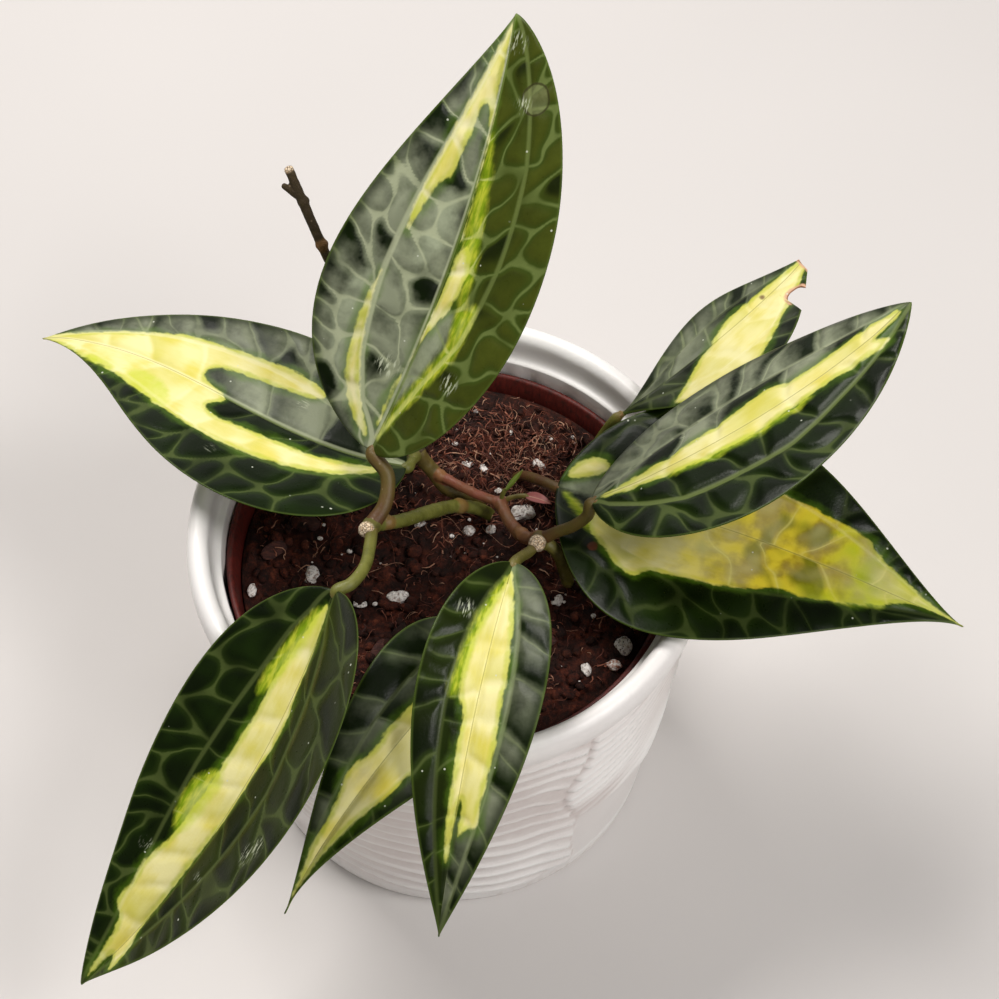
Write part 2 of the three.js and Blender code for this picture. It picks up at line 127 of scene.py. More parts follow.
def tube(path, radius, sides):
    """A round bar along the path, with rounded ends. The radius may change along it."""
    radius = np.broadcast_to(np.asarray(radius, float), len(path))
    ahead = unit(np.gradient(path, axis=0))
    across = unit(np.cross(ahead[0], NO_BAR_RUNS))
    angles = np.arange(sides)[:, None] * TURN / sides
    rings = []
    for direction in ahead:
        across = unit(across - direction * (across @ direction))
        rings.append(np.cos(angles) * across + np.sin(angles) * np.cross(direction, across))
    rows = [centre + ring * size for centre, ring, size in zip(path, rings, radius)]
    first_row, first = bar_end(path[0], -ahead[0], rings[0], radius[0])
    last_row, last = bar_end(path[-1], ahead[-1], rings[-1], radius[-1])
    return closed_rows(np.array([first_row, *rows, last_row]), first, last)


def bar_end(centre, out, ring, size):
    """The smaller ring and the middle point of a bar's rounded end."""
    return centre + size * (0.35 * out + 0.7 * ring), centre + size * 0.5 * out


def closed_rows(rows, first, last):
    """A closed skin over equal rings, with one point at either end."""
    count, sides = rows.shape[:2]
    points = np.concatenate([rows.reshape(-1, 3), [first], [last]])
    i, j = np.meshgrid(np.arange(count - 1), np.arange(sides), indexing="ij")
    a = (i * sides + j).ravel()
    b = (i * sides + (j + 1) % sides).ravel()
    faces = np.stack([a, b, b + sides, a + sides], -1).tolist()
    top = (count - 1) * sides
    for j in range(sides):
        following = (j + 1) % sides
        faces.append([following, j, count * sides])
        faces.append([top + j, top + following, count * sides + 1])
    return points, faces


def merged(shapes):
    """Several (points, faces) as one."""
    points, faces, start = [], [], 0
    for some_points, some_faces in shapes:
        points.append(some_points)
        faces.extend([[k + start for k in face] for face in some_faces])
        start += len(some_points)
    return np.concatenate(points), faces


def level_ring(radius, height, sectors):
    """Points round the vertical axis."""
    angles = np.arange(sectors) * TURN / sectors
    return np.stack([radius * np.cos(angles), radius * np.sin(angles), np.full(sectors, float(height))], -1)


def turned(profile, sectors):
    """A body turned about the vertical axis. The profile starts and ends on the axis."""
    rows = np.array([level_ring(radius, height, sectors) for radius, height in profile[1:-1]])
    return closed_rows(rows, [0, 0, profile[0][1]], [0, 0, profile[-1][1]])


def refined(profile, step):
    """The same outline with points at most step apart."""
    fine = [profile[0]]
    for (r0, z0), (r1, z1) in zip(profile, profile[1:]):
        parts = max(1, math.ceil(math.hypot(r1 - r0, z1 - z0) / step))
        fine += [(r0 + (r1 - r0) * k / parts, z0 + (z1 - z0) * k / parts) for k in range(1, parts + 1)]
    return fine


def softened(outline, rounds=2, closed=True):
    """The outline with its corners cut a few times. An open one keeps its ends."""
    outline = np.array(outline, float)
    for _ in range(rounds):
        following = np.roll(outline, -1, axis=0)
        cuts = np.stack([0.75 * outline + 0.25 * following, 0.25 * outline + 0.75 * following], 1)
        if closed:
            outline = cuts.reshape(-1, 2)
        else:
            outline = np.concatenate([outline[:1], cuts[:-1].reshape(-1, 2), outline[-1:]])
    return outline


def spin_about_up(angle):
    """The matrix that turns points about the vertical axis."""
    c, s = math.cos(angle), math.sin(angle)
    return np.array([[c, -s, 0], [s, c, 0], [0, 0, 1]])


def lump(fineness):
    """A round mesh of small triangles, one unit in radius."""
    work = bmesh.new()
    bmesh.ops.create_icosphere(work, subdivisions=fineness, radius=1)
    points = np.array([v.co for v in work.verts])
    faces = [[v.index for v in f.verts] for f in work.faces]
    work.free()
    return points, faces


def make_mesh(name, shape, marks=None):
    """A Blender mesh in metres. marks are three numbers for every point, by name."""
    points, faces = shape
    mesh = bpy.data.meshes.new(name)
    mesh.from_pydata((np.asarray(points, float) * MM).tolist(), [], faces)
    for title, values in (marks or {}).items():
        layer = mesh.attributes.new(title, "FLOAT_VECTOR", "POINT")
        layer.data.foreach_set("vector", np.asarray(values, np.float32).ravel())
    mesh.shade_smooth()
    mesh.update()
    return mesh


def face_outwards(mesh):
    """Turns every face's front to the outside."""
    work = bmesh.new()
    work.from_mesh(mesh)
    bmesh.ops.recalc_face_normals(work, faces=work.faces)
    work.to_mesh(mesh)
    work.free()


def add_piece(name, mesh, materials, replaces):
    """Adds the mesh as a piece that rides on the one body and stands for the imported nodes."""
    face_outwards(mesh)
    for some in materials:
        mesh.materials.append(some)
    piece = bpy.data.objects.new(name, mesh)
    bpy.context.scene.collection.objects.link(piece)
    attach(piece, "root")
    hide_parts(*replaces)
    return piece


# Materials: Python expressions that add nodes


class Socket:
    """A number, colour or vector on its way through a material. Operators add Math nodes."""

    def __init__(self, finish, link):
        self.finish = finish
        self.link = link

    def _math(self, operation, *operands):
        return self.finish.node("ShaderNodeMath", {"operation": operation}, dict(enumerate(operands)))

    def __add__(self, other):
        return self._math("ADD", self, other)

    def __sub__(self, other):
        return self._math("SUBTRACT", self, other)

    def __rsub__(self, other):
        return self._math("SUBTRACT", other, self)

    def __mul__(self, other):
        return self._math("MULTIPLY", self, other)

    def __abs__(self):
        return self._math("ABSOLUTE", self)

    __radd__ = __add__
    __rmul__ = __mul__

    def clamped(self):
        """Kept between 0 and 1."""
        return self.finish.node("ShaderNodeClamp", None, {0: self, 1: 0.0, 2: 1.0})

    def at_most(self, other):
        return self._math("MINIMUM", self, other)

    def at_least(self, other):
        return self._math("MAXIMUM", self, other)

    def rise(self, low, high):
        """0 below low, 1 above high and smooth between, or the other way round where high is the lower."""
        sign = 1 if high > low else -1
        inputs = {0: self * sign, 1: low * sign, 2: high * sign, 3: 0.0, 4: 1.0}
        return self.finish.node("ShaderNodeMapRange", {"interpolation_type": "SMOOTHSTEP"}, inputs)

    def line(self, half_width, blur):
        """1 where the value is near 0, fading out over blur beyond half_width."""
        return abs(self).rise(half_width + blur, half_width)

    def parts(self):
        """The three numbers of a vector."""
        return [self.finish.node("ShaderNodeSeparateXYZ", None, {0: self}, output=k) for k in range(3)]


class Finish:
    """One material. Its methods add nodes and give back sockets."""

    def __init__(self, name):
        self.material = bpy.data.materials.new(name)
        self.material.use_nodes = True
        self.nodes = self.material.node_tree.nodes
        self.links = self.material.node_tree.links
        self.nodes.clear()
        self.kept = {}

    def node(self, kind, settings=None, inputs=None, output=0):
        """Adds a node: settings come first, then the values or links of its inputs."""
        made = self.nodes.new(kind)
        for name, value in (settings or {}).items():
            if name == "stops":
                self.set_stops(made.color_ramp, value)
            else:
                setattr(made, name, value)
        for name, value in (inputs or {}).items():
            if isinstance(value, Socket):
                self.links.new(value.link, made.inputs[name])
            else:
                made.inputs[name].default_value = value
        return Socket(self, made.outputs[output])

    def set_stops(self, ramp, stops):
        """Gives a colour ramp its stops."""
        while len(ramp.elements) < len(stops):
            ramp.elements.new(0.5)
        for element, (position, colour) in zip(ramp.elements, stops):
            element.position = position
            element.color = (*paint(colour), 1)

    def attribute(self, name):
        """The three numbers that make_mesh stored under this name."""
        if name not in self.kept:
            self.kept[name] = self.node("ShaderNodeAttribute", {"attribute_name": name}, output="Vector")
        return self.kept[name]

    def position(self):
        """The place in the object, in millimetres."""
        if "position" not in self.kept:
            metres = self.node("ShaderNodeTexCoord", output="Object")
            settings = {"operation": "SCALE"}
            self.kept["position"] = self.node("ShaderNodeVectorMath", settings, {0: metres, "Scale": 1 / MM})
        return self.kept["position"]

    def vector(self, x, y):
        return self.node("ShaderNodeCombineXYZ", None, {0: x, 1: y})

    def stretched(self, place, factors):
        """A place with each of its numbers multiplied, so that what is laid over it is drawn out."""
        return self.node("ShaderNodeVectorMath", {"operation": "MULTIPLY"}, {0: place, 1: factors})

    def noise(self, place, size, detail=3.0, roughness=0.55, distortion=0.0):
        """Cloudy noise from 0 to 1, with clouds about size across."""
        inputs = {"Vector": place, "Scale": 1 / size, "Detail": detail, "Roughness": roughness}
        inputs["Distortion"] = distortion
        return self.node("ShaderNodeTexNoise", {"noise_dimensions": "3D"}, inputs)

    def cells(self, place, size, feature="F1"):
        """The distance to the nearest of scattered spots, or to the border between their cells."""
        return self.node("ShaderNodeTexVoronoi", {"feature": feature}, {"Vector": place, "Scale": 1 / size})

    def mix(self, first, second, share):
        """Colour that goes from first to second with share. Each may be a colour code."""
        first, second = [(*paint(c), 1) if isinstance(c, str) else c for c in (first, second)]
        return self.node("ShaderNodeMix", {"data_type": "RGBA"}, {0: share, 6: first, 7: second}, output=2)

    def coats(self, colour, *coats):
        """The colour under coats of others, each with its own share."""
        for over, share in coats:
            colour = self.mix(colour, over, share)
        return colour

    def ramp(self, share, stops):
        """Colour that runs through the stops, each a share and a colour code."""
        return self.node("ShaderNodeValToRGB", {"stops": stops}, {0: share})

    def surface(self, colour, roughness, bump=None, constants=None):
        """Ends the material in one shader. bump is a height in millimetres, constants go by their sockets."""
        inputs = {"Base Color": colour, "Roughness": roughness, **(constants or {})}
        if bump is not None:
            raised = {"Height": bump, "Distance": MM, "Strength": 1.0}
            inputs["Normal"] = self.node("ShaderNodeBump", None, raised)
        shader = self.node("ShaderNodeBsdfPrincipled", None, inputs)
        output = self.nodes.new("ShaderNodeOutputMaterial")
        self.links.new(shader.link, output.inputs["Surface"])
        return self.material


def paint(code):
    """A colour code #rrggbb in the linear numbers that shaders use."""
    parts = [int(code[k : k + 2], 16) / 255 for k in (1, 3, 5)]
    return tuple(p / 12.92 if p <= 0.04045 else ((p + 0.055) / 1.055) ** 2.4 for p in parts)


# The leaves' shapes and markings

MIDRIB_STEPS = 400  # for working out where a bending midrib runs
LEAST_WIDTH = 0.25  # of half a blade, at its ends
USUAL_VEIN = ((0.03, 0.12), (0.1, 0.33), (0.2, 0.43), (0.4, 0.5), (0.7, 0.52), (0.9, 0.48))


@dataclass
class Leaf:
    """One leaf. Its blade starts at its base and runs along a bending midrib.

    Left and right are as seen from the base, and pairs are (left, right). Angles are in degrees, each as
    (at the base, its change to the tip), and heading adds a later change. A place on the blade is
    (share of the length, share of the half width), negative on the left. Markings are outlines of such
    places, and spots are such a place and a radius in millimetres.
    """

    name: str
    stalk: list  # the points it runs through, from its node to the blade
    stalk_radius: float
    start: tuple
    length: float
    halves: tuple  # each half's greatest width
    base: float  # how slowly the blade widens from its base
    tapers: tuple  # how soon each half narrows to the tip
    heading: tuple  # the midrib's compass angle from +X
    rise: tuple  # its slope
    roll: tuple  # how far the blade tips sideways
    fold: float  # how far both halves are lifted
    thickness: float = 1.35
    pucker: float = 0.35  # how far the cells between the veins swell
    painted_sheen_and_light: tuple = (0, 0)  # painted reflection: how pale a painted sheen each half has, or, where negative, how much painted sunlight turns it olive
    olive: tuple = (0, 0.5, 0.2)  # how browned the gold is, and the middle and spread of that along the blade
    gold: list = field(default_factory=list)
    dark: list = field(default_factory=list)  # green left inside the gold
    lime: list = field(default_factory=list)
    pale: list = field(default_factory=list)  # a pale wash over the green
    blotches: list = field(default_factory=list)  # brown spots
    rings: list = field(default_factory=list)  # ring-shaped scars
    scratches: list = field(default_factory=list)
    stalk_red: float = 0.12
    midrib: float = 0.6  # how clearly the midrib shows
    side_veins: tuple = (0.6, 0.6)  # how clearly each half's main side vein shows
    veins: float = 0.5  # how clearly the net of small veins shows
    left_vein: tuple = USUAL_VEIN  # places that the left half's main side vein runs through
    right_vein: tuple = USUAL_VEIN
    rows: tuple = ((0, 0.5, 13), (1, 0.36, 14), (1, 0.86, 8))  # of vein cells: outside or not, place, pitch
    broken: bool = False  # with a bitten margin and a broken tip

    def angles(self, t):
        """Heading, rise and roll at the share t of the length, in radians."""
        first, turn, late = self.heading
        heading = np.radians(first + turn * t + late * t * t)
        rise = np.radians(self.rise[0] + self.rise[1] * t)
        roll = np.radians(self.roll[0] + self.roll[1] * t)
        return heading, rise, roll

    def ahead(self, t):
        """The direction of the midrib."""
        heading, rise, _ = self.angles(t)
        flat = np.cos(rise)
        return np.stack([flat * np.cos(heading), flat * np.sin(heading), np.sin(rise)], -1)

    def frames(self, t):
        """The midrib's points and the blade's side and up directions there."""
        steps = np.linspace(0, 1, MIDRIB_STEPS + 1)
        moves = self.ahead((steps[1:] + steps[:-1]) / 2) * self.length / MIDRIB_STEPS
        line = np.concatenate([[self.start], self.start + np.cumsum(moves, axis=0)])
        point = np.stack([np.interp(t, steps, line[:, k]) for k in range(3)], -1)
        heading, _, roll = self.angles(t)
        side = np.stack([np.sin(heading), -np.cos(heading), np.zeros_like(t)], -1)
        up = np.cross(side, self.ahead(t))
        turn, tip = np.cos(roll)[..., None], np.sin(roll)[..., None]
        return point, turn * side + tip * up, turn * up - tip * side

    def half_width(self, t, s):
        """How wide the blade is at t, on the side that s is on."""
        half = np.where(s < 0, self.halves[0], self.halves[1])
        taper = np.where(s < 0, self.tapers[0], self.tapers[1])
        widest = self.base / (self.base + taper)
        t = np.clip(t, 1e-6, 1 - 1e-6)
        shape = (t / widest) ** self.base * ((1 - t) / (1 - widest)) ** taper
        return np.maximum(LEAST_WIDTH, half * shape)

    def flat(self, t, s):
        """The place on the blade laid flat: along it and across it, in millimetres."""
        return np.stack([t * self.length, s * self.half_width(t, s)], -1)


LEFT_NODE = (-21.1, -8.9, 142)
RIGHT_NODE = (25.4, -4.6, 128.1)
MIDDLE_NODE = (14.2, 12.7, 120)
BACK_NODE = (-10, 24.1, 128)
SHOOT_BUD = (-3.6, 21, 121.5)

LEAVES = [
    Leaf(
        name="leaf_top",
        stalk=[LEFT_NODE, (-17.6, -3.6, 145), (-17.2, 3.1, 149), (-21.3, 8.3, 152)], stalk_radius=2.2,
        stalk_red=0.75,
        start=(-21.8, 8.9, 152), length=125.2, halves=(31.3, 30.7), base=0.61, tapers=(1.12, 0.75),
        heading=(49.7, 27.4, 1.7), rise=(50.8, -12.8), roll=(-0.8, 1.8), fold=20, pucker=0.6,
        painted_sheen_and_light=(1, -0.8), veins=0.95, midrib=0.95, side_veins=(1, 0.8), rings=[(0.835, 0.62, 4)],
        scratches=[(0.82, 0.42, 2), (0.94, 0.25, 2.6), (0.2, -0.2, 3.2), (0.24, 0.6, 2.6)],
        rows=((0, 0.28, 14), (0, 0.76, 12), (1, 0.33, 12), (1, 0.86, 7.5)),
        left_vein=((0.03, 0.1), (0.1, 0.38), (0.2, 0.47), (0.4, 0.52), (0.6, 0.53), (0.9, 0.5)),
        right_vein=(
            (0.03, 0.05), (0.1, 0.15), (0.2, 0.27), (0.32, 0.45), (0.5, 0.52), (0.7, 0.55), (0.9, 0.5),
        ),
        gold=[
            [
                (0.97, -0.6), (0.93, -0.6), (0.85, -0.54), (0.75, -0.53), (0.62, -0.53), (0.5, -0.49),
                (0.5, -0.46), (0.62, -0.4), (0.64, -0.28), (0.7, -0.29), (0.8, -0.27), (0.81, -0.2),
                (0.8, -0.1), (0.76, -0.04), (0.7, 0), (0.6, 0.02), (0.5, 0.05), (0.4, 0.07), (0.55, 0.06),
                (0.65, 0.03), (0.75, 0.01), (0.8, -0.02), (0.85, -0.06), (0.9, -0.1), (0.95, -0.1),
                (1, -0.3),
            ],
            [
                (0.52, 0.08), (0.5, 0.22), (0.42, 0.25), (0.38, 0.2), (0.3, 0.05), (0.2, -0.05),
                (0.1, -0.1), (0.04, -0.08), (0.3, 0), (0.4, 0.05),
            ],
            [
                (0.02, -0.2), (0.1, -0.42), (0.2, -0.48), (0.33, -0.52), (0.42, -0.53), (0.33, -0.57),
                (0.2, -0.61), (0.1, -0.63), (0.04, -0.5),
            ],
        ],
        dark=[
            [
                (0.81, -0.2), (0.79, -0.27), (0.64, -0.25), (0.6, -0.17), (0.57, -0.02), (0.7, -0.03),
                (0.78, -0.08),
            ],
        ],
        lime=[
            [
                (0.76, 0.03), (0.7, 0.13), (0.6, 0.2), (0.53, 0.24), (0.5, 0.28), (0.4, 0.32), (0.38, 0.36),
                (0.42, 0.47), (0.3, 0.48), (0.25, 0.42), (0.15, 0.27), (0.05, 0.12), (0.03, 0.02),
                (0.1, 0.08), (0.2, 0.2), (0.3, 0.36), (0.36, 0.3), (0.45, 0.25), (0.5, 0.1), (0.6, 0.07),
                (0.7, 0.05),
            ],
        ],
        pale=[
            [(0.12, -0.02), (0.22, 0), (0.33, 0.05), (0.38, 0.2), (0.34, 0.32), (0.25, 0.27), (0.15, 0.12)],
            [(0.03, -0.5), (0.12, -0.75), (0.3, -0.8), (0.42, -0.62), (0.3, -0.5), (0.12, -0.42)],
            [(0.42, -0.28), (0.5, -0.32), (0.62, -0.3), (0.6, -0.12), (0.5, -0.1)],
        ],
    ),
    Leaf(
        name="leaf_left",
        stalk=[BACK_NODE, (-11.6, 20, 131), (-12.7, 15.6, 133.6)], stalk_radius=1.8,
        start=(-12.7, 15.6, 134), length=121.9, halves=(34.2, 30.7), base=0.6, tapers=(1.31, 1.17),
        heading=(177.2, -110.6, 108), rise=(8.4, -19), roll=(-8.3, 2.4), fold=9, pucker=0.3,
        painted_sheen_and_light=(0, 0.8), veins=0.42, midrib=0.85, side_veins=(0.35, 0.75),
        scratches=[(0.4, -0.62, 1), (0.3, 0.3, 1.6)],
        gold=[
            [
                (1, -1), (0.93, -1), (0.86, -0.9), (0.8, -0.72), (0.7, -0.64), (0.6, -0.6), (0.5, -0.55),
                (0.4, -0.5), (0.3, -0.45), (0.2, -0.4), (0.1, -0.32), (0.05, -0.25), (0.05, -0.15),
                (0.1, -0.16), (0.2, -0.2), (0.3, -0.2), (0.4, -0.24), (0.46, -0.29), (0.49, -0.25),
                (0.49, -0.18), (0.46, -0.05), (0.5, 0.04), (0.56, 0.07), (0.55, 0.28), (0.45, 0.32),
                (0.35, 0.35), (0.28, 0.4), (0.25, 0.5), (0.3, 0.57), (0.4, 0.58), (0.5, 0.56), (0.6, 0.57),
                (0.67, 0.6), (0.7, 0.56), (0.75, 0.53), (0.85, 0.5), (0.93, 0.45), (1, 1),
            ],
        ],
        lime=[
            [(0.86, -0.9), (0.8, -0.72), (0.74, -0.5), (0.84, -0.45)],
            [(0.55, -0.55), (0.6, -0.3), (0.7, -0.25), (0.72, -0.5), (0.7, -0.62)],
        ],
    ),
    Leaf(
        name="leaf_front_left",
        stalk=[
            LEFT_NODE, (-21.1, -17.2, 145), (-22.1, -26.5, 148.5), (-25.4, -32.6, 150.2),
            (-28.8, -34.4, 149.8),
        ],
        stalk_radius=1.8,
        start=(-28.8, -34.2, 150), length=135.4, halves=(32.3, 30.1), base=0.48, tapers=(1.23, 0.87),
        heading=(-109.8, -37.4, -6.4), rise=(-27.3, -13.4), roll=(-32.2, 31), fold=20.6, pucker=0.28,
        painted_sheen_and_light=(-0.25, 0), veins=0.4, midrib=0.25, side_veins=(0.45, 0.4),
        scratches=[(0.66, 0.6, 1.6), (0.47, -0.78, 2.4), (0.5, -0.72, 2.4), (0.62, -0.3, 1.2)],
        rows=((0, 0.45, 12), (1, 0.36, 13), (1, 0.86, 9)),
        left_vein=(
            (0.05, 0.05), (0.1, 0.17), (0.2, 0.27), (0.3, 0.32), (0.4, 0.4), (0.55, 0.4), (0.7, 0.37),
            (0.8, 0.35),
        ),
        right_vein=(
            (0.05, 0.3), (0.1, 0.38), (0.2, 0.42), (0.3, 0.47), (0.45, 0.52), (0.6, 0.53), (0.9, 0.5),
        ),
        gold=[
            [
                (0.03, 0.02), (0.1, 0), (0.2, -0.05), (0.3, -0.14), (0.4, -0.05), (0.5, -0.03), (0.6, 0.01),
                (0.75, 0.01), (0.8, -0.08), (0.83, -0.3), (0.86, -0.5), (0.88, -0.7), (0.91, -0.9),
                (0.9, -0.5), (0.89, -0.1), (0.89, 0.12), (0.97, 0.12), (0.97, 0.3), (0.88, 0.36),
                (0.82, 0.38), (0.81, 0.62), (0.77, 0.58), (0.75, 0.52), (0.7, 0.53), (0.68, 0.5),
                (0.62, 0.38), (0.55, 0.33), (0.45, 0.3), (0.4, 0.28), (0.3, 0.25), (0.2, 0.26), (0.1, 0.2),
                (0.04, 0.15),
            ],
        ],
        dark=[[(0.82, 0.4), (0.84, 0.62), (0.89, 0.66), (0.9, 0.4), (0.86, 0.36)]],
        lime=[
            [(0.03, 0.1), (0.08, 0.3), (0.2, 0.37), (0.27, 0.33), (0.2, 0.2), (0.1, 0.1)],
            [(0.42, 0.22), (0.46, 0.42), (0.52, 0.5), (0.58, 0.44), (0.6, 0.3), (0.5, 0.2)],
        ],
    ),
    Leaf(
        name="leaf_front_low",
        stalk=[(22, -15, 94), (22, -15, 104), (20, -21.5, 116), (15, -30.6, 126), (12.6, -36.4, 128.7)],
        stalk_radius=1.8,
        start=(12.6, -36.4, 129.5), length=99.2, halves=(21, 19.7), base=0.51, tapers=(1.86, 1.61),
        heading=(-121.8, -23.1, 16.9), rise=(18.9, -72.3), roll=(2.6, -2.6), fold=12.1, pucker=0.2,
        painted_sheen_and_light=(0.1, 0.3), olive=(0.3, 0.55, 0.05), veins=0.3, midrib=0.15, side_veins=(0.25, 0.25),
        rows=((0, 0.3, 12), (1, 0.5, 8)),
        gold=[
            [
                (0.03, -0.1), (0.2, -0.35), (0.35, -0.5), (0.5, -0.6), (0.55, -0.65), (0.6, -0.58),
                (0.7, -0.5), (0.8, -0.45), (0.9, -0.5), (0.97, -0.5), (0.97, 0.3), (0.85, 0.45),
                (0.8, 0.55), (0.75, 0.45), (0.7, 0.35), (0.63, 0.4), (0.57, 0.5), (0.5, 0.3), (0.45, 0.22),
                (0.43, 0.28), (0.35, 0.2), (0.2, 0.15), (0.03, 0.05),
            ],
        ],
    ),
    Leaf(
        name="leaf_front_centre",
        stalk=[RIGHT_NODE, (22.8, -10, 131.1), (20, -17.2, 139.8), (18.1, -23.7, 147)], stalk_radius=1.6,
        stalk_red=0.4,
        start=(18.1, -23.7, 147.4), length=104.5, halves=(18, 17), base=0.61, tapers=(1.12, 1.2),
        heading=(-103.9, 5.7, 0), rise=(5.2, -55.3), roll=(-0.1, -6.2), fold=16.5, pucker=0.4,
        painted_sheen_and_light=(0.45, -0.1), veins=0.4, midrib=0.1, side_veins=(0.5, 0.3), scratches=[(0.17, 0.62, 2.2)],
        rows=((0, 0.3, 12), (1, 0.5, 8)),
        gold=[
            [
                (0.03, -0.12), (0.1, -0.25), (0.2, -0.33), (0.3, -0.38), (0.4, -0.4), (0.5, -0.46),
                (0.6, -0.48), (0.65, -0.48), (0.7, -0.6), (0.7, -0.4), (0.71, -0.3), (0.73, -0.2),
                (0.71, -0.13), (0.65, -0.16), (0.63, -0.05), (0.66, 0), (0.75, 0.02), (0.8, 0.02),
                (0.8, 0.17), (0.75, 0.2), (0.65, 0.2), (0.55, 0.18), (0.5, 0.2), (0.45, 0.17), (0.42, 0.2),
                (0.39, 0.32), (0.3, 0.35), (0.2, 0.3), (0.1, 0.15), (0.03, 0.05),
            ],
        ],
        lime=[[(0.03, 0.08), (0.1, 0.25), (0.2, 0.38), (0.3, 0.42), (0.38, 0.5), (0.4, 0.35), (0.25, 0.3)]],
    ),
    Leaf(
        name="leaf_right_upper",
        stalk=[
            RIGHT_NODE, (30.2, -4.2, 132), (34.8, -4.6, 136.2), (38.6, -3.9, 140.9), (39.4, -2.2, 144.3),
        ],
        stalk_radius=1.8, stalk_red=0.7,
        start=(39.4, -2.1, 144.7), length=102.7, halves=(28.8, 30.7), base=0.6, tapers=(0.83, 0.93),
        heading=(12.8, 16, 8.4), rise=(25.3, 1.5), roll=(22.8, 2.3), fold=-5.1, pucker=0.6,
        painted_sheen_and_light=(1, 0), veins=0.42, midrib=0.2, side_veins=(0.4, 0.9), scratches=[(0.3, -0.35, 1.2)],
        right_vein=(
            (0.02, 0.15), (0.05, 0.3), (0.15, 0.42), (0.25, 0.5), (0.4, 0.5), (0.55, 0.54), (0.7, 0.48),
            (0.85, 0.46),
        ),
        gold=[
            [
                (0.03, -0.03), (0.1, -0.07), (0.2, -0.1), (0.3, -0.17), (0.4, -0.2), (0.5, -0.27),
                (0.57, -0.32), (0.6, -0.28), (0.62, -0.2), (0.7, -0.2), (0.8, -0.23), (0.84, -0.25),
                (0.88, -0.36), (0.9, -0.27), (0.94, -0.25), (0.96, -0.3), (0.96, 0.2), (0.91, 0.14),
                (0.86, 0.15), (0.88, 0.3), (0.9, 0.5), (0.86, 0.45), (0.83, 0.35), (0.78, 0.28),
                (0.73, 0.2), (0.65, 0.19), (0.6, 0.16), (0.5, 0.18), (0.4, 0.17), (0.3, 0.15), (0.2, 0.13),
                (0.1, 0.1), (0.03, 0.08),
            ],
        ],
        lime=[
            [(0.2, 0.12), (0.35, 0.15), (0.5, 0.17), (0.65, 0.18), (0.65, 0.22), (0.5, 0.21), (0.3, 0.18)],
        ],
    ),
    Leaf(
        name="leaf_right_lower",
        stalk=[(18, 30, 94), (18, 30, 104), (20.5, 26.5, 113.5), (26.4, 18.6, 122.8), (30.4, 14.2, 126.5)],
        stalk_radius=1.7, stalk_red=0.95,
        start=(30.4, 13.3, 127.7), length=122.1, halves=(34.6, 40.9), base=0.7, tapers=(1.4, 1.54),
        heading=(-13.8, -20.9, 15.1), rise=(8, -22), roll=(-4.9, -2.4), fold=9, pucker=0.3,
        olive=(1, 0.6, 0.26), veins=0.22, midrib=0.15, side_veins=(0.25, 0.2), blotches=[(0.13, 0.57, 1.6)],
        gold=[
            [(0.02, -0.75), (0.1, -0.5), (0.12, -0.3), (0.05, -0.25), (0.02, -0.4)],
            [
                (0.95, -0.5), (0.87, -0.5), (0.85, -0.55), (0.75, -0.6), (0.73, -0.72), (0.7, -0.66),
                (0.6, -0.55), (0.5, -0.5), (0.4, -0.4), (0.3, -0.2), (0.2, 0), (0.1, 0.1), (0.1, 0.45),
                (0.15, 0.5), (0.2, 0.6), (0.25, 0.63), (0.27, 0.52), (0.35, 0.5), (0.5, 0.5), (0.58, 0.42),
                (0.62, 0.5), (0.7, 0.5), (0.75, 0.5), (0.8, 0.45), (0.82, 0.35), (0.87, 0.1), (0.9, 0),
                (1, -0.1), (1, -0.4),
            ],
        ],
        lime=[
            [(0.02, 0.1), (0.06, 0.2), (0.1, 0.3), (0.12, 0.45), (0.08, 0.4), (0.03, 0.25)],
            [(0.68, 0.3), (0.8, 0.3), (0.81, 0.5), (0.68, 0.5)],
        ],
        pale=[[(0.02, -0.2), (0.1, -0.22), (0.22, -0.1), (0.22, 0.02), (0.1, 0.04), (0.02, 0.02)]],
    ),
    Leaf(
        name="leaf_back_right",
        stalk=[(40, 34, 94), (40, 34, 104), (41, 34, 113), (44.8, 35.3, 124.3), (48.3, 36.1, 131.3)],
        stalk_radius=1.6,
        start=(48.3, 36.1, 131.5), length=76, halves=(15.8, 23.3), base=1.59, tapers=(1.54, 1.63),
        heading=(23.4, 23.4, 1.6), rise=(31.7, -20), roll=(23.4, 2.5), fold=0.3, pucker=0.25,
        painted_sheen_and_light=(0.55, 0.2), midrib=0.1, side_veins=(0.2, 0.3), blotches=[(0.72, -0.1, 0.9)], broken=True,
        rows=((0, 0.3, 9), (1, 0.5, 6)),
        gold=[
            [
                (0.2, 0.9), (0.25, 0.6), (0.3, 0.35), (0.35, 0.2), (0.4, 0.05), (0.45, 0), (0.5, -0.15),
                (0.6, -0.28), (0.7, -0.27), (0.8, -0.33), (0.86, -0.4), (0.95, -0.5), (0.95, 0.8),
                (0.85, 0.7), (0.75, 0.6), (0.7, 0.62), (0.65, 0.65), (0.6, 0.7), (0.5, 0.85), (0.3, 0.95),
            ],
        ],
    ),
]

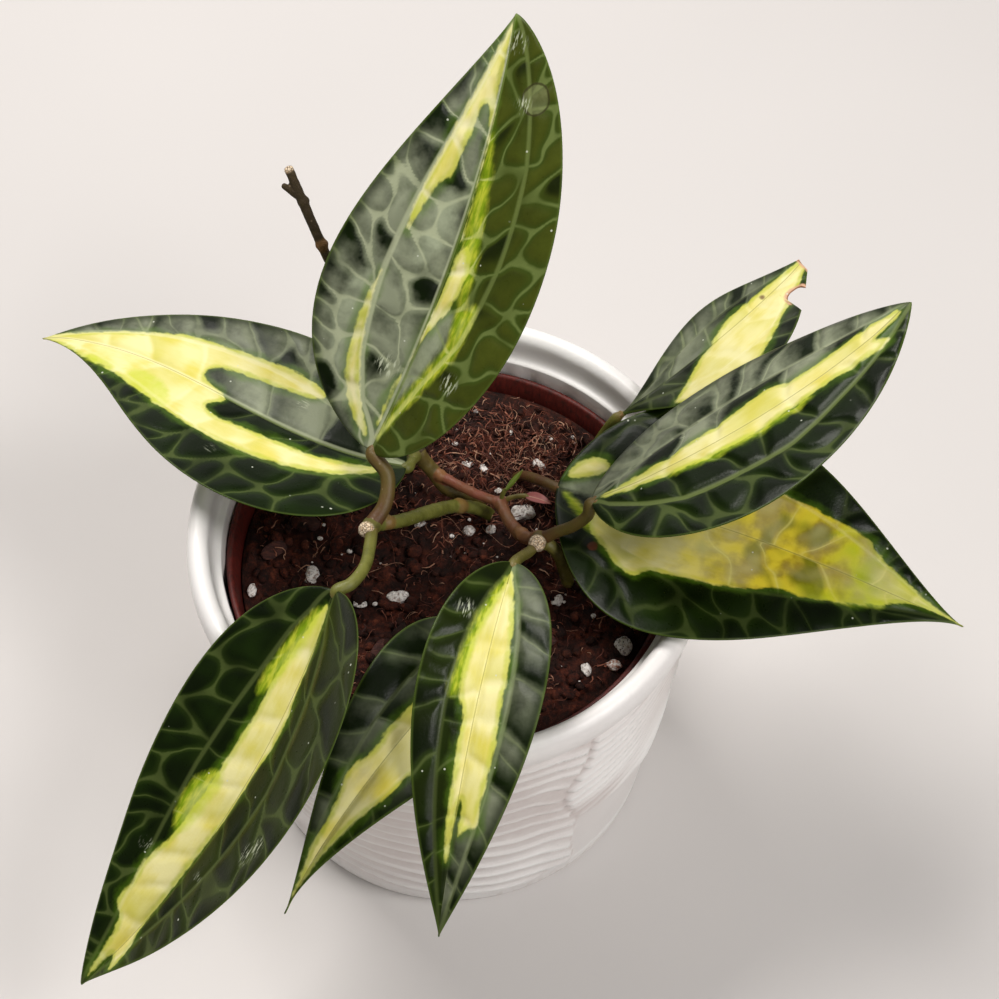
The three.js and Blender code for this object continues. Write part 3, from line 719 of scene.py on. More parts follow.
YOUNG_LEAVES = [
    Leaf(
        name="young_leaf_red",
        stalk=[MIDDLE_NODE, (17.6, 13.6, 121.8), (21.7, 13.1, 123.4)], stalk_radius=0.8,
        start=(21.5, 13.1, 123.4), length=8.2, halves=(1.8, 1.8), base=0.6, tapers=(1, 1),
        heading=(-15, 0, 0), rise=(12, -40), roll=(0, 0), fold=10, thickness=0.9, pucker=0.04,
        rows=((0, 0.5, 2), (1, 0.5, 2)),
    ),
    Leaf(
        name="young_leaf_green",
        stalk=[MIDDLE_NODE, (14.9, 13.6, 123.2), (15.6, 14, 125.4)], stalk_radius=0.7,
        start=(15.5, 14, 125), length=12, halves=(1.3, 1.3), base=0.6, tapers=(0.9, 0.9), heading=(0, 0, 0),
        rise=(64, 4), roll=(0, 0), fold=10, thickness=0.9, pucker=0.04,
        rows=((0, 0.5, 2), (1, 0.5, 2)),
    ),
]


# Markings and veins on a blade laid flat

FAR = 20.0  # a distance that is out of reach of every marking


def depth_inside(points, outline):
    """How deep each point lies inside the closed outline, negative outside it."""
    nearest = np.full(len(points), np.inf)
    inside = np.zeros(len(points), bool)
    for start, end in zip(outline, np.roll(outline, -1, axis=0)):
        step = end - start
        reach = points - start
        share = np.clip(reach @ step / max(step @ step, 1e-9), 0, 1)
        nearest = np.minimum(nearest, np.square(reach - share[:, None] * step).sum(1))
        if step[1] != 0:
            crossing = start[0] + (points[:, 1] - start[1]) * step[0] / step[1]
            inside ^= ((start[1] > points[:, 1]) != (end[1] > points[:, 1])) & (points[:, 0] < crossing)
    return np.where(inside, 1, -1) * np.sqrt(nearest)


def marking(leaf, flat, outlines):
    """How deep each point lies inside any of the outlines, negative outside them all."""
    depth = np.full(len(flat), -FAR)
    for outline in outlines:
        t, s = softened(outline).T
        depth = np.maximum(depth, depth_inside(flat, leaf.flat(np.clip(t, 0.001, 0.999), s)))
    return depth


def spot_depths(leaf, flat, spots):
    """How deep each point lies inside the nearest of the round spots, negative outside."""
    depth = np.full(len(flat), -FAR)
    for t, s, radius in spots:
        centre = leaf.flat(np.array([t]), np.array([s]))[0]
        depth = np.maximum(depth, radius - np.linalg.norm(flat - centre, axis=1))
    return depth


def main_vein_at(leaf, t, s):
    """The share of the half width where that half's main side vein runs."""
    left = np.interp(t, *zip(*leaf.left_vein))
    right = np.interp(t, *zip(*leaf.right_vein))
    return np.where(s < 0, left, right)


CELL_SLANT = 0.5  # how far cells run forward for each step outwards
CELL_REACH = 6.0  # half of a usual cell's length
CELL_CORNER = 1.1  # how round the corners are
CELL_STRAY = 0.9  # how far cells lie from their even places, in pitches along the blade
CELL_SHIFT = 0.36  # and across it, in shares of their band
MISSING_CELLS = 0.1  # the share of cells left out, so that their neighbours grow into their place
BORDER_SWAY = 3.0  # how far long bends and small ripples move the borders
BORDER_RIPPLE = 0.55
RIPPLE_SIZE = 3.6


def vein_cells(leaf, t, s, seed):
    """Each point's distance to the border of its vein cell, that distance with three signs, and a tone: a
    random one per cell plus painted shade towards each cell's tip side.

    The signs are the bits of a number that no two touching cells share. So across any border at least
    one of the three signed distances runs evenly through zero, and the border stays a sharp unbroken
    line on the mesh.
    """
    random = np.random.default_rng(seed)
    flat = leaf.flat(t, s)
    sway = np.stack([flat_noise(*flat.T, 11.0, seed), flat_noise(*flat.T, 9.0, seed + 1)], -1)
    ripple = np.stack([flat_noise(*flat.T, RIPPLE_SIZE, seed + k) for k in (2, 3)], -1)
    place = flat + BORDER_SWAY * sway + BORDER_RIPPLE * ripple
    place[:, 0] -= CELL_SLANT * np.abs(place[:, 1])
    split = main_vein_at(leaf, t, s)
    border, shade = np.zeros(len(t)), np.full(len(t), 0.5)
    signed = np.zeros((len(t), 3))
    for side, band in itertools.product((-1, 1), (0, 1)):
        here = ((s < 0) == (side < 0)) & ((np.abs(s) > split) == (band == 1))
        seeds = cell_seeds(leaf, side, band, random)
        gap, own, other = cell_borders(place[here], seeds[:, :2])
        numbers = cell_numbers(own, other, len(seeds))
        signs = 1 - 2 * (numbers[own][:, None] >> np.arange(3) & 1)
        border[here] = gap
        signed[here] = gap[:, None] * signs
        ahead = np.clip((place[here, 0] - seeds[own, 0]) / CELL_REACH, -1, 1)
        # painted shade: each cell darkens towards its tip side, on top of a random tone per cell
        shade[here] += smoothstep(0.2, 2.4, gap) * (0.8 * (seeds[own, 2] - 0.5) + 0.4 * ahead)
    return border, signed, shade


def cell_seeds(leaf, side, band, random):
    """The middles of the vein cells in one band of one half, each with a random shade."""
    seeds = []
    for share, pitch in [row[1:] for row in leaf.rows if row[0] == band]:
        count = max(2, round(leaf.length / pitch))
        for k in range(count):
            at = (k + 0.5 + CELL_STRAY * (random.random() - 0.5)) / count
            vein = float(main_vein_at(leaf, np.array([at]), np.array([side]))[0])
            low, high = (vein, 1) if band else (0, vein)
            across = side * (low + (high - low) * (share + CELL_SHIFT * (random.random() - 0.5)))
            if random.random() < MISSING_CELLS and k:
                continue
            spot = leaf.flat(np.array([at]), np.array([across]))[0]
            seeds.append([spot[0] - CELL_SLANT * abs(spot[1]), spot[1], random.random()])
    return np.array(seeds)


def cell_numbers(own, other, count):
    """A number from 0 to 7 for each cell, such that no two cells that touch have the same."""
    touching = [set() for _ in range(count)]
    for a, b in np.unique(np.stack([own, other], -1), axis=0):
        touching[a].add(b)
        touching[b].add(a)
    numbers = np.full(count, -1)
    for cell in range(count):
        taken = {numbers[k] for k in touching[cell]}
        numbers[cell] = min(set(range(8)) - taken, default=0)
    return numbers


def cell_borders(points, seeds):
    """The distance from each point to its cell's border, its cell's seed and the one across the border."""
    squares = np.square(points[:, None] - seeds[None]).sum(2)
    nearest = squares.argmin(1)
    own = squares[np.arange(len(points)), nearest]
    apart = np.linalg.norm(seeds[nearest][:, None] - seeds[None], axis=2)
    gap = (squares - own[:, None]) / np.maximum(2 * apart, 1e-6)
    gap[np.arange(len(points)), nearest] = np.inf
    closest = np.partition(gap, 1, axis=1)[:, :2]
    rounded = -CELL_CORNER * np.log(np.exp(-closest / CELL_CORNER).sum(1))
    return np.maximum(rounded, 0), nearest, gap.argmin(1)


# Blades and stalks

BROKEN_AT = 70.3  # where along the blade the tip is broken off
BROKEN_SLANT = 0.21  # how far the break runs back for each step to the right
BROKEN_HALF = 5  # each half's width there
BITE = (60.7, 8.27, 3.0)  # its middle along and across the blade, and its radius
CELL_SHOULDER = 3.2  # how far from a vein a cell has swollen to its full height
MIDRIB_SINK = 0.35  # how deep the midrib lies in the top of the blade
MIDRIB_KEEL = 0.45  # how far it and the main side veins stand out below
SIDE_VEIN_KEEL = 0.2
BLADE_WAVE = 0.5  # how far the margins wave up and down
STALK_SIDES = 20
COLLAR_AT = 0.012  # its place along the blade
COLLAR_POINTS = 24


def margin_steps(count):
    """Shares of the half width from -1 to 1, closer together near the margins."""
    even = np.linspace(-1, 1, count)
    return even * (1.25 - 0.25 * even**2)


def bitten(leaf, t, s):
    """The share of the half width that is left beside the bite."""
    along, across, radius = BITE
    reach = radius**2 - np.square(t * leaf.length - along)
    edge = across - np.sqrt(np.maximum(reach, 0))
    left = edge / leaf.half_width(t, np.ones_like(t))
    return np.where((s > 0) & (reach > 0), np.minimum(1, left), 1.0)


def blade_places(leaf, seed, along, across, under):
    """What the blade is worked out from at each of its points, which go round it ring by ring from its base.

    A ring runs over the top of the blade and back under it, with across points on top and under below.
    """
    even = np.linspace(0, 1, along)[1:-1]
    rows = 0.6 * even + 0.4 * (1 - np.cos(np.pi * even)) / 2
    ring = np.concatenate([margin_steps(across), margin_steps(under)[::-1][1:-1]])
    p = SimpleNamespace()
    p.t, p.s = [grid.ravel() for grid in np.meshgrid(rows, ring, indexing="ij")]
    p.face = np.tile(np.concatenate([np.ones(across), -np.ones(under - 2)]), len(rows))
    p.out = np.abs(p.s)
    p.tip = 1.0
    if leaf.broken:
        p.t = p.t * (BROKEN_AT - BROKEN_SLANT * p.s * BROKEN_HALF) / leaf.length
        p.s = p.s * bitten(leaf, p.t, p.s)
        p.tip = BROKEN_AT / leaf.length
    p.flat = leaf.flat(p.t, p.s)
    p.wide = leaf.half_width(p.t, p.s)
    p.main = (np.abs(p.s) - main_vein_at(leaf, p.t, p.s)) * p.wide
    p.border, p.net, p.shade = vein_cells(leaf, p.t, p.s, seed)
    return p


def blade(leaf, seed, along=190, across=84, under=36):
    """The blade as a shape, with marks for its finish."""
    p = blade_places(leaf, seed, along, across, under)
    point, side, up = leaf.frames(p.t)
    level, lift = math.cos(math.radians(leaf.fold)), math.sin(math.radians(leaf.fold))
    middle = point + side * (p.flat[:, 1] * level)[:, None] + up * (np.abs(p.flat[:, 1]) * lift)[:, None]
    normal = unit(up * level - side * (np.sign(p.s) * lift)[:, None])
    half = leaf.thickness / 2 * (1 - 0.35 * p.out) * np.sqrt(1 - p.out**7)
    half = half * np.minimum(1, 0.35 + p.wide / 6)
    points = middle + normal * (blade_relief(leaf, p, seed) + p.face * half)[:, None]
    ends = leaf.frames(np.array([0.0, p.tip]))[0]
    shape = closed_rows(points.reshape(along - 2, -1, 3), *ends)
    return shape, {name: with_ends(values) for name, values in blade_marks(leaf, p).items()}


def with_ends(values):
    """Marks for the two end points too, taken from the rings beside them."""
    return np.concatenate([values, values[:1], values[-1:]])


def blade_relief(leaf, p, seed):
    """How far the surface stands off the smooth blade: cells swell, veins and midrib sink in on top."""
    across = p.flat[:, 1]
    near_vein = np.minimum(np.minimum(p.border, np.abs(p.main)), np.abs(across) * 1.2)
    swell = leaf.pucker * (smoothstep(0, CELL_SHOULDER, near_vein) - 0.5)
    calm = smoothstep(0.02, 0.15, p.t) * smoothstep(1.0, 0.85, p.t) * smoothstep(1.0, 0.86, np.abs(p.s))
    sink = MIDRIB_SINK * np.exp(-np.square(across / 1.1)) + 0.5 * leaf.pucker * np.exp(-np.square(p.main))
    keel = MIDRIB_KEEL * np.exp(-np.square(across / 1.3)) + SIDE_VEIN_KEEL * np.exp(-np.square(p.main / 0.9))
    wave = BLADE_WAVE * flat_noise(*p.flat.T, 24.0, seed + 5) * p.s**2
    fade = np.minimum(1, p.wide / 5)
    return wave + fade * calm * np.where(p.face > 0, swell - sink, 0.25 * swell - keel)


def blade_marks(leaf, p):
    """What the leaf's finish needs at every point: distances in millimetres and shares from 0 to 1."""
    gold = marking(leaf, p.flat, leaf.gold)
    if leaf.dark:
        gold = np.minimum(gold, -marking(leaf, p.flat, leaf.dark))
    amount, centre, spread = leaf.olive
    olive = amount * np.exp(-np.square((p.t - centre) / spread))
    spots = [spot_depths(leaf, p.flat, some) for some in (leaf.rings, leaf.scratches, leaf.blotches)]
    ring, scratch, blotch = spots
    left = p.s < 0
    whole = np.ones(len(p.t))
    return {
        "flat": np.stack([*p.flat.T, (1 - np.abs(p.s)) * p.wide], -1),
        "patches": np.stack([gold, marking(leaf, p.flat, leaf.lime), marking(leaf, p.flat, leaf.pale)], -1),
        "net": p.net,
        "veins": np.stack([p.main, np.where(left, *leaf.side_veins), p.face < 0], -1),
        "tones": np.stack([olive, np.where(left, *leaf.painted_sheen_and_light), p.shade], -1),
        "harm": np.stack([torn_edge(leaf, p.flat), ring, scratch], -1),
        "habit": np.stack([whole * leaf.veins, whole * leaf.midrib, blotch], -1),
    }


def torn_edge(leaf, flat):
    """How far each point is from the bitten margin and the broken tip."""
    if not leaf.broken:
        return np.full(len(flat), FAR)
    along, across, radius = BITE
    bite = np.hypot(flat[:, 0] - along, flat[:, 1] - across) - radius
    tip = BROKEN_AT - BROKEN_SLANT * flat[:, 1] - flat[:, 0]
    return np.minimum(np.abs(bite), np.abs(tip))


def stalk(leaf):
    """The leaf's stalk, swollen a little at both ends, run on under the blade where the midrib takes over."""
    r = leaf.stalk_radius
    under = np.array(leaf.start) + leaf.ahead(np.array(0.0)) * 1.6 * r - [0, 0, 0.45 * r]
    path = through([*leaf.stalk, under], per_span=14)
    run = lengths_along(path)
    left = run[-1] - run
    swollen = 1 + 0.1 * np.exp(-np.square(run / (1.5 * r))) + 0.06 * np.exp(-np.square(left / (2 * r)))
    waist = 1 - 0.07 * np.sin(np.pi * run / run[-1])
    taper = 1 - 0.55 * smoothstep(1.8 * r, 0, left)
    points, faces = tube(path, r * swollen * waist * taper, STALK_SIDES)
    points = points + 0.06 * lattice_noise(points, 2.5, 3)[:, None] * unit(points - points.mean(0))
    return (points, faces), path, run


def collar(leaf):
    """The small brown ring where the blade meets its stalk."""
    point, side, up = (v[0] for v in leaf.frames(np.array([COLLAR_AT])))
    r = 0.62 * leaf.stalk_radius
    angles = np.linspace(0, TURN, COLLAR_POINTS + 1)[:-1]
    centre = point + up * 0.3
    path = [centre + r * (math.cos(a) * side + math.sin(a) * leaf.ahead(np.array(0.0)) * 0.8) for a in angles]
    return loop_tube(np.array(path), 0.32 * r * (1 + 0.25 * np.sin(3 * angles)))


def loop_tube(path, radius, sides=8):
    """A ring: a bar that closes on itself."""
    count = len(path)
    ahead = unit(np.roll(path, -1, 0) - np.roll(path, 1, 0))
    out = unit(path - path.mean(0))
    up = np.cross(ahead, out)
    angles = np.arange(sides)[:, None] * TURN / sides
    round_it = np.cos(angles) * out[:, None] + np.sin(angles) * up[:, None]
    rings = path[:, None] + radius[:, None, None] * round_it
    faces = []
    for i in range(count):
        for j in range(sides):
            k, m = (i + 1) % count, (j + 1) % sides
            faces.append([i * sides + j, i * sides + m, k * sides + m, k * sides + j])
    return rings.reshape(-1, 3), faces


# Finishes


def leaf_marks(f):
    """What the leaf's colours are mixed by: noises over the flat blade, its markings and its veins."""
    m = SimpleNamespace()
    m.along, m.across, m.margin = f.attribute("flat").parts()
    m.gold, m.lime, pale = f.attribute("patches").parts()
    main, side_strength, m.under = f.attribute("veins").parts()
    m.olive, painted_sheen_and_light, m.shade = f.attribute("tones").parts()
    m.torn, m.ring, m.scratch = f.attribute("harm").parts()
    net_strength, midrib_strength, m.blotches = f.attribute("habit").parts()
    m.laid = f.vector(m.along, m.across)
    m.cloud = f.noise(m.laid, 11.0, 1.0)
    m.mottle = f.noise(m.laid, 3.2, 2.0, 0.6)
    m.streak = f.noise(f.stretched(m.laid, (0.28, 1.0, 1.0)), 1.5, 2.0, 0.6)
    m.fine = f.noise(m.laid, 0.8, 1.0)

    # Markings, with ragged edges
    m.ragged = (m.mottle - 0.5) * 1.4 + (m.streak - 0.5) * 1.2
    m.in_gold = (m.gold + m.ragged).rise(-0.4, 0.45)
    m.fringe = (m.gold + m.ragged * 1.5 + (m.cloud - 0.5) * 5.0).rise(-2.6, 0.5)
    m.in_lime = (m.lime + m.ragged).rise(-1.5, 1.0)
    m.in_pale = (pale + m.ragged * 1.5).rise(-2.0, 1.6)
    # painted sunlight where the field is negative, and a painted sheen (reflection) where it is positive,
    # fading near the margin
    m.lit = (0 - painted_sheen_and_light).clamped()
    m.painted_sheen_and_light = painted_sheen_and_light.clamped() * (0.3 + m.margin.rise(0.6, 4.0) * 0.7)

    # Veins: the net's fine lines and the glow beside them, then the main ones, wider near the base
    net_a, net_b, net_c = f.attribute("net").parts()
    border = abs(net_a).at_most(abs(net_b)).at_most(abs(net_c))
    faint = m.cloud.rise(0.25, 0.6)
    m.net = border.rise(0.55, 0.0) * (0.3 + faint * 0.7) * net_strength
    m.glow = border.rise(1.9, 0.1) * (0.5 + faint * 0.5) * net_strength
    wider = m.along.rise(115.0, 0.0)
    m.side_vein = (abs(main) - wider * 0.2 - side_strength * 0.3).rise(0.75, 0.0) * side_strength
    m.midrib = (abs(m.across) - wider * 0.4 - midrib_strength * 0.35).rise(0.5, 0.0) * midrib_strength
    m.vein = m.net.at_least(m.side_vein).at_least(m.midrib)
    m.beside = abs(main).rise(3.2, 0.4) * side_strength
    return m


def leaf_green(f, m):
    """Near-black green cells with painted sunlight in olive, a painted grey sheen and painted shade on one
    side of each cell, a pale wash, and paler veins between.
    """
    uneven = (m.mottle - 0.5) * 0.8 + (m.cloud - 0.5) * 0.7 - (m.shade - 0.5) * 1.5
    dark_cells_and_painted_shade = (m.shade + m.mottle * 0.3).rise(0.7, 1.1)
    return f.coats(
        f.mix("#060e01", "#162505", (m.cloud * 1.1 - 0.1).rise(0.1, 0.9)),
        # painted sunlight: olive on the halves marked as lit
        ("#4d5519", m.lit * (0.5 + m.mottle * 0.4 + (0.5 - m.shade) * 0.5)),
        ("#394b18", m.glow.at_least(m.beside * 0.4) * 0.75),
        # painted reflection: a grey sheen on the hazy halves, darker on the painted-shade side of each cell
        ("#8f957c", (m.painted_sheen_and_light * (0.5 + uneven + m.glow * 0.25)).clamped()),
        # painted shade in part: the darkest cells come from a random tone per cell plus painted shade on
        # their tip side
        ("#0b1403", dark_cells_and_painted_shade * (0.75 - m.glow * 0.7 - m.painted_sheen_and_light * 0.2)),
        ("#a6ae92", m.in_pale * (0.35 + m.mottle * 0.5)),
        ("#4f6f14", m.fringe * 0.6),
        # veins are paler where the painted sheen lies
        (f.mix("#8b9a58", "#bcc29f", m.painted_sheen_and_light), m.vein * (0.42 + m.painted_sheen_and_light * 0.28)),
        ("#55682a", m.margin.line(0.0, 0.9) * 0.6),
    )


def leaf_lime(f, m):
    """Streaked yellow-green, paler in the middle of a patch."""
    streaked = f.mix("#7c9816", "#c4c93c", m.streak.rise(0.35, 0.75))
    return f.mix(streaked, "#dfe08a", (m.vein * 0.6).at_least(m.lime.rise(1.0, 3.5) * 0.4))


def leaf_gold(f, m):
    """Cream and gold, greener at its edge, and browned in blots on an old leaf."""
    blots = f.noise(m.laid, 8.0, 1.0)
    browned = f.coats(
        f.mix("#92760a", "#e6d038", (m.mottle * 0.3 + blots).rise(0.5, 0.8)),
        # painted shade in part: the olive blots darken where the cells' random tone and painted shade are
        # high
        ("#4f5a08", (m.shade * 0.5 + m.cloud).rise(0.7, 0.95) * 0.75),
        ("#b0c41a", (m.along + blots * 40).rise(92.0, 118.0) * 0.7),
        ("#e9df7c", (m.net * 3.0 + m.glow * 1.2).clamped() * 0.6),
    )
    return f.coats(
        f.mix("#dbcf5e", "#ebe3a2", (m.cloud * 1.4 + m.streak * 0.4 - 0.4).rise(0.1, 0.7)),
        ("#b7c042", (m.gold.rise(3.0, 0.2) * (0.35 + m.mottle)).rise(0.3, 0.9) * 0.75),
        ("#f4efc6", m.glow * 0.5),
        # painted shade in part: darker gold inside the cells, from their random tone and painted shade
        ("#c9c455", (m.shade - 0.35).clamped() * (1.0 - m.glow) * 0.8),
        ("#c3cf3a", m.in_lime * (0.3 + m.mottle * 0.6)),
        (browned, (m.olive * (0.2 + blots * 1.5)).clamped()),
        ("#f1ebc0", m.midrib.at_least(m.side_vein) * 0.5),
        ("#7d7a2c", abs(m.across).rise(0.26, 0.1) * 0.5),
    )


def leaf_underside(f, m):
    """Paler green, with the gold and the veins showing through."""
    green = f.mix("#4f6430", "#77884c", m.cloud)
    return f.coats(green, ("#bdbd74", m.in_gold * 0.75), ("#93a468", m.vein * 0.6))


def leaf_finish():
    """Thick glossy leaf: dark green with fine veins, cream and lime down the middle, and some wear."""
    f = Finish("leaf_blade")
    m = leaf_marks(f)
    scars = (abs(m.ring) + (m.streak - 0.5) * 0.7).rise(0.42, 0.1) * m.mottle.rise(0.25, 0.45)
    hairs = f.noise(f.stretched(m.laid, (0.3, 1.5, 1.0)), 0.9, 2.0).rise(0.5, 0.62)
    specks = f.cells(m.laid, 5.2).rise(0.07, 0.045) * m.cloud.rise(0.5, 0.56)
    colour = f.coats(
        leaf_green(f, m),
        (leaf_lime(f, m), m.in_lime * 0.92),
        (leaf_gold(f, m), m.in_gold),
        ("#5c2f1c", (m.blotches + m.ragged * 0.5).rise(-0.3, 0.5) * 0.8),
        ("#d4a889", (m.torn + (m.mottle - 0.5) * 1.4).rise(1.3, 0.3)),
        ("#7c4a2c", m.torn.rise(0.4, 0.05) * 0.8),
        ("#8b8f66", m.ring.rise(-0.6, 0.8) * (0.1 + m.mottle * 0.5)),
        ("#35331a", scars * 0.8),
        ("#ced4b8", m.scratch.rise(-1.2, 1.8) * hairs * 0.75),
        (leaf_underside(f, m), m.under * 0.85),
        ("#d8dccb", specks * 0.7),
    )
    rough = 0.22 + (m.mottle + m.vein + m.in_gold + m.painted_sheen_and_light) * 0.1 + m.under * 0.28 + m.fine * 0.05
    return f.surface(colour, rough, m.fine * 0.035, {"IOR": 1.4, "Specular IOR Level": 0.18})


def stem_finish(name, base, high, red):
    """Green-brown bark of a climbing stem, red or dry in places, pale and cracked where it is cut."""
    f = Finish(name)
    place = f.position()
    reddish, dry, cut = f.attribute("bark").parts()
    long, _, ring = f.attribute("run").parts()
    streak = f.noise(f.vector(long * 0.18, 0.0), 1.0, 2.0)
    cloud = f.noise(place, 4.5, 4.0, 0.6)
    fine = f.noise(place, 0.6, 4.0, 0.65)
    flecks = f.cells(place, 2.2).rise(0.16, 0.08)
    cracks = f.cells(place, 0.85, "DISTANCE_TO_EDGE").rise(0.1, 0.02)
    cut_wood = f.mix(f.mix("#f0ddc0", "#bd976c", fine.rise(0.4, 0.7)), "#5c3a26", cracks * 0.7)
    colour = f.coats(
        f.mix(base, high, (cloud * 0.8 + streak * 0.3).rise(0.3, 0.8)),
        (red, (reddish * (0.4 + cloud * 1.1)).clamped()),
        ("#2a1a12", dry * (0.55 + fine * 0.5)),
        ("#6e5a48", dry * fine.rise(0.52, 0.75) * 0.6),
        ("#8a6238", ring * 0.65),
        ("#a8927a", flecks * 0.35),
        (cut_wood, cut),
    )
    rough = 0.36 + cloud * 0.12 + (dry + cut) * 0.35
    height = fine * 0.12 + cloud * 0.15 - cracks * cut * 0.35 + ring * 0.2 + dry * fine * 0.35
    return f.surface(colour, rough, height, {"Specular IOR Level": 0.4})


def ceramic_finish():
    """White satin glaze, paler on the carved crests from thinner glaze and a painted highlight, darker mauve
    in the grooves from pooled glaze and painted shade, with a lighter painted mauve shade over all the carved
    wall.
    """
    f = Finish("white_glaze")
    place = f.position()
    height, combed, wall = f.attribute("carving").parts()
    cloud = f.noise(place, 34.0, 1.0)
    mottle = f.noise(place, 3.0, 2.0, 0.6)
    fine = f.noise(place, 0.5, 1.0)
    # grooves: glaze pooled between the ridges, and painted shade there
    grooves = combed * height.rise(0.5, 0.0) * (0.4 + mottle * 0.3)
    pinholes = f.cells(place, 5.5).rise(0.05, 0.02) * f.noise(place, 17.0, 0.0).rise(0.5, 0.6)
    _, _, up = place.parts()
    dust = up.rise(9.0, 0.0) * mottle.rise(0.45, 0.7) * 0.35
    colour = f.coats(
        f.mix("#ece8e6", "#f6f4f2", cloud.rise(0.3, 0.7)),
        # painted shade: mauve grey in the grooves, and a lighter mauve over all the carved wall
        ("#c9b8b3", grooves.at_least(wall * 0.2)),
        # painted highlight on the carved crests, where the glaze is also thinner
        ("#fbfaf8", height.rise(0.45, 0.9) * 0.6),
        ("#a39a92", pinholes * 0.7),
        ("#b4a596", dust),
    )
    return f.surface(colour, 0.3 + mottle * 0.12 + fine * 0.04 + dust * 0.3, mottle * 0.12)


def plastic_finish():
    """Thin moulded plastic, dark brick red, scuffed and with dried soil along its lip."""
    f = Finish("brick_red_plastic")
    place = f.position()
    _, _, up = place.parts()
    fine = f.noise(place, 0.35, 3.0)
    scuff = f.noise(f.stretched(place, (1.0, 1.0, 0.12)), 0.8, 3.0, 0.6)
    soil = f.noise(place, 2.2, 5.0, 0.7) * up.rise(104.0, 110.0)
    colour = f.mix("#48120c", "#651d14", scuff.rise(0.3, 0.7))
    colour = f.mix(colour, "#2b120c", soil.rise(0.5, 0.66) * 0.7)
    return f.surface(colour, 0.42 + (scuff + soil) * 0.15, fine * 0.03 + scuff * 0.05 + soil * 0.1)


def soil_finish():
    """Damp coir and peat: dark red-brown, matted and crumbly."""
    f = Finish("coir_mix")
    place = f.position()
    tone, _, _ = f.attribute("crumb").parts()
    cloud = f.noise(place, 12.0, 1.0)
    clumps = f.noise(place, 2.4, 4.0, 0.7)
    fine = f.noise(place, 0.45, 2.0, 0.7)
    matted = f.noise(f.stretched(place, (1.0, 0.25, 1.0)), 0.5, 3.0, 0.7, 1.5)
    browns = (0.3, "#100603"), (0.48, "#2c1008"), (0.62, "#4a1e11"), (0.8, "#743a24")
    colour = f.coats(
        f.ramp(clumps + tone * 0.22 - 0.08, browns),
        ("#1a0c08", cloud.rise(0.6, 0.35) * 0.55),
        ("#80503a", matted.rise(0.6, 0.75) * 0.45),
        ("#0a0503", fine.rise(0.42, 0.3) * 0.7),
    )
    return f.surface(colour, 0.78 + fine * 0.2, clumps * 0.8 + fine * 0.35, {"Specular IOR Level": 0.3})


def fibre_finish():
    """Coir fibres, each its own brown."""
    f = Finish("coir_fibres")
    tone, _, _ = f.attribute("crumb").parts()
    fine = f.noise(f.position(), 1.2, 1.0)
    browns = (0.1, "#220c06"), (0.4, "#552518"), (0.72, "#94563f"), (1.0, "#c9a184")
    return f.surface(f.ramp(tone * 0.8 + fine * 0.3, browns), 0.55 + fine * 0.25)


def perlite_finish():
    """Puffed white grains, full of pits, stained brown by the soil."""
    f = Finish("puffed_perlite")
    place = f.position()
    stain, spots, rust = f.attribute("grain").parts()
    pits = f.cells(place, 0.75)
    lumps = f.noise(place, 1.1, 4.0, 0.65)
    fine = f.noise(place, 0.25, 3.0)
    colour = f.coats(
        f.mix("#cfc4bc", "#f4eee9", lumps.rise(0.32, 0.6)),
        ("#8d6a5a", lumps.rise(0.46, 0.34) * (0.25 + stain * 0.6)),
        ("#3a241b", pits.rise(0.3, 0.16) * (0.25 + spots * 0.75)),
        ("#a75b2c", rust * lumps.rise(0.62, 0.4) * 0.85),
    )
    return f.surface(colour, 0.8 + fine * 0.15, lumps * 0.35 - pits.rise(0.42, 0.2) * 0.3 + fine * 0.06)


def bark_finish():
    """Red-brown chips of bark with a long grain."""
    f = Finish("bark_chips")
    place = f.position()
    grain = f.noise(f.stretched(place, (0.35, 1.2, 1.2)), 0.9, 5.0, 0.65, 0.8)
    cloud = f.noise(place, 3.5, 3.0)
    browns = (0.3, "#1c0c08"), (0.5, "#41201a"), (0.65, "#5e3226"), (0.82, "#7b4c38")
    colour = f.ramp(grain * 0.75 + cloud * 0.25, browns)
    return f.surface(colour, 0.72 + cloud * 0.2, grain * 0.6 + cloud * 0.2)


def young_finish(name, base, tip):
    """A leaf that has only just opened: soft, fleshy and one tone that deepens towards the tip."""
    f = Finish(name)
    along, across, margin = f.attribute("flat").parts()
    cloud = f.noise(f.vector(along, across), 1.8, 3.0)
    colour = f.coats(
        f.mix(base, tip, (along * 0.11 + cloud * 0.5 - 0.25).rise(0.1, 0.9)),
        ("#e6c9a8", across.line(0.05, 0.2) * 0.35),
        ("#5b2320", margin.line(0.0, 0.35) * 0.35),
    )
    return f.surface(colour, 0.36 + cloud * 0.15, cloud * 0.06)


def floor_finish():
    """A plain pale floor, hardly clouded."""
    f = Finish("pale_floor")
    cloud = f.noise(f.position(), 260.0, 2.0)
    colour = f.mix("#d3cfcd", "#dbd7d5", cloud)
    return f.surface(colour, 0.7 + cloud * 0.08, None, {"Specular IOR Level": 0.25})


# The outer pot

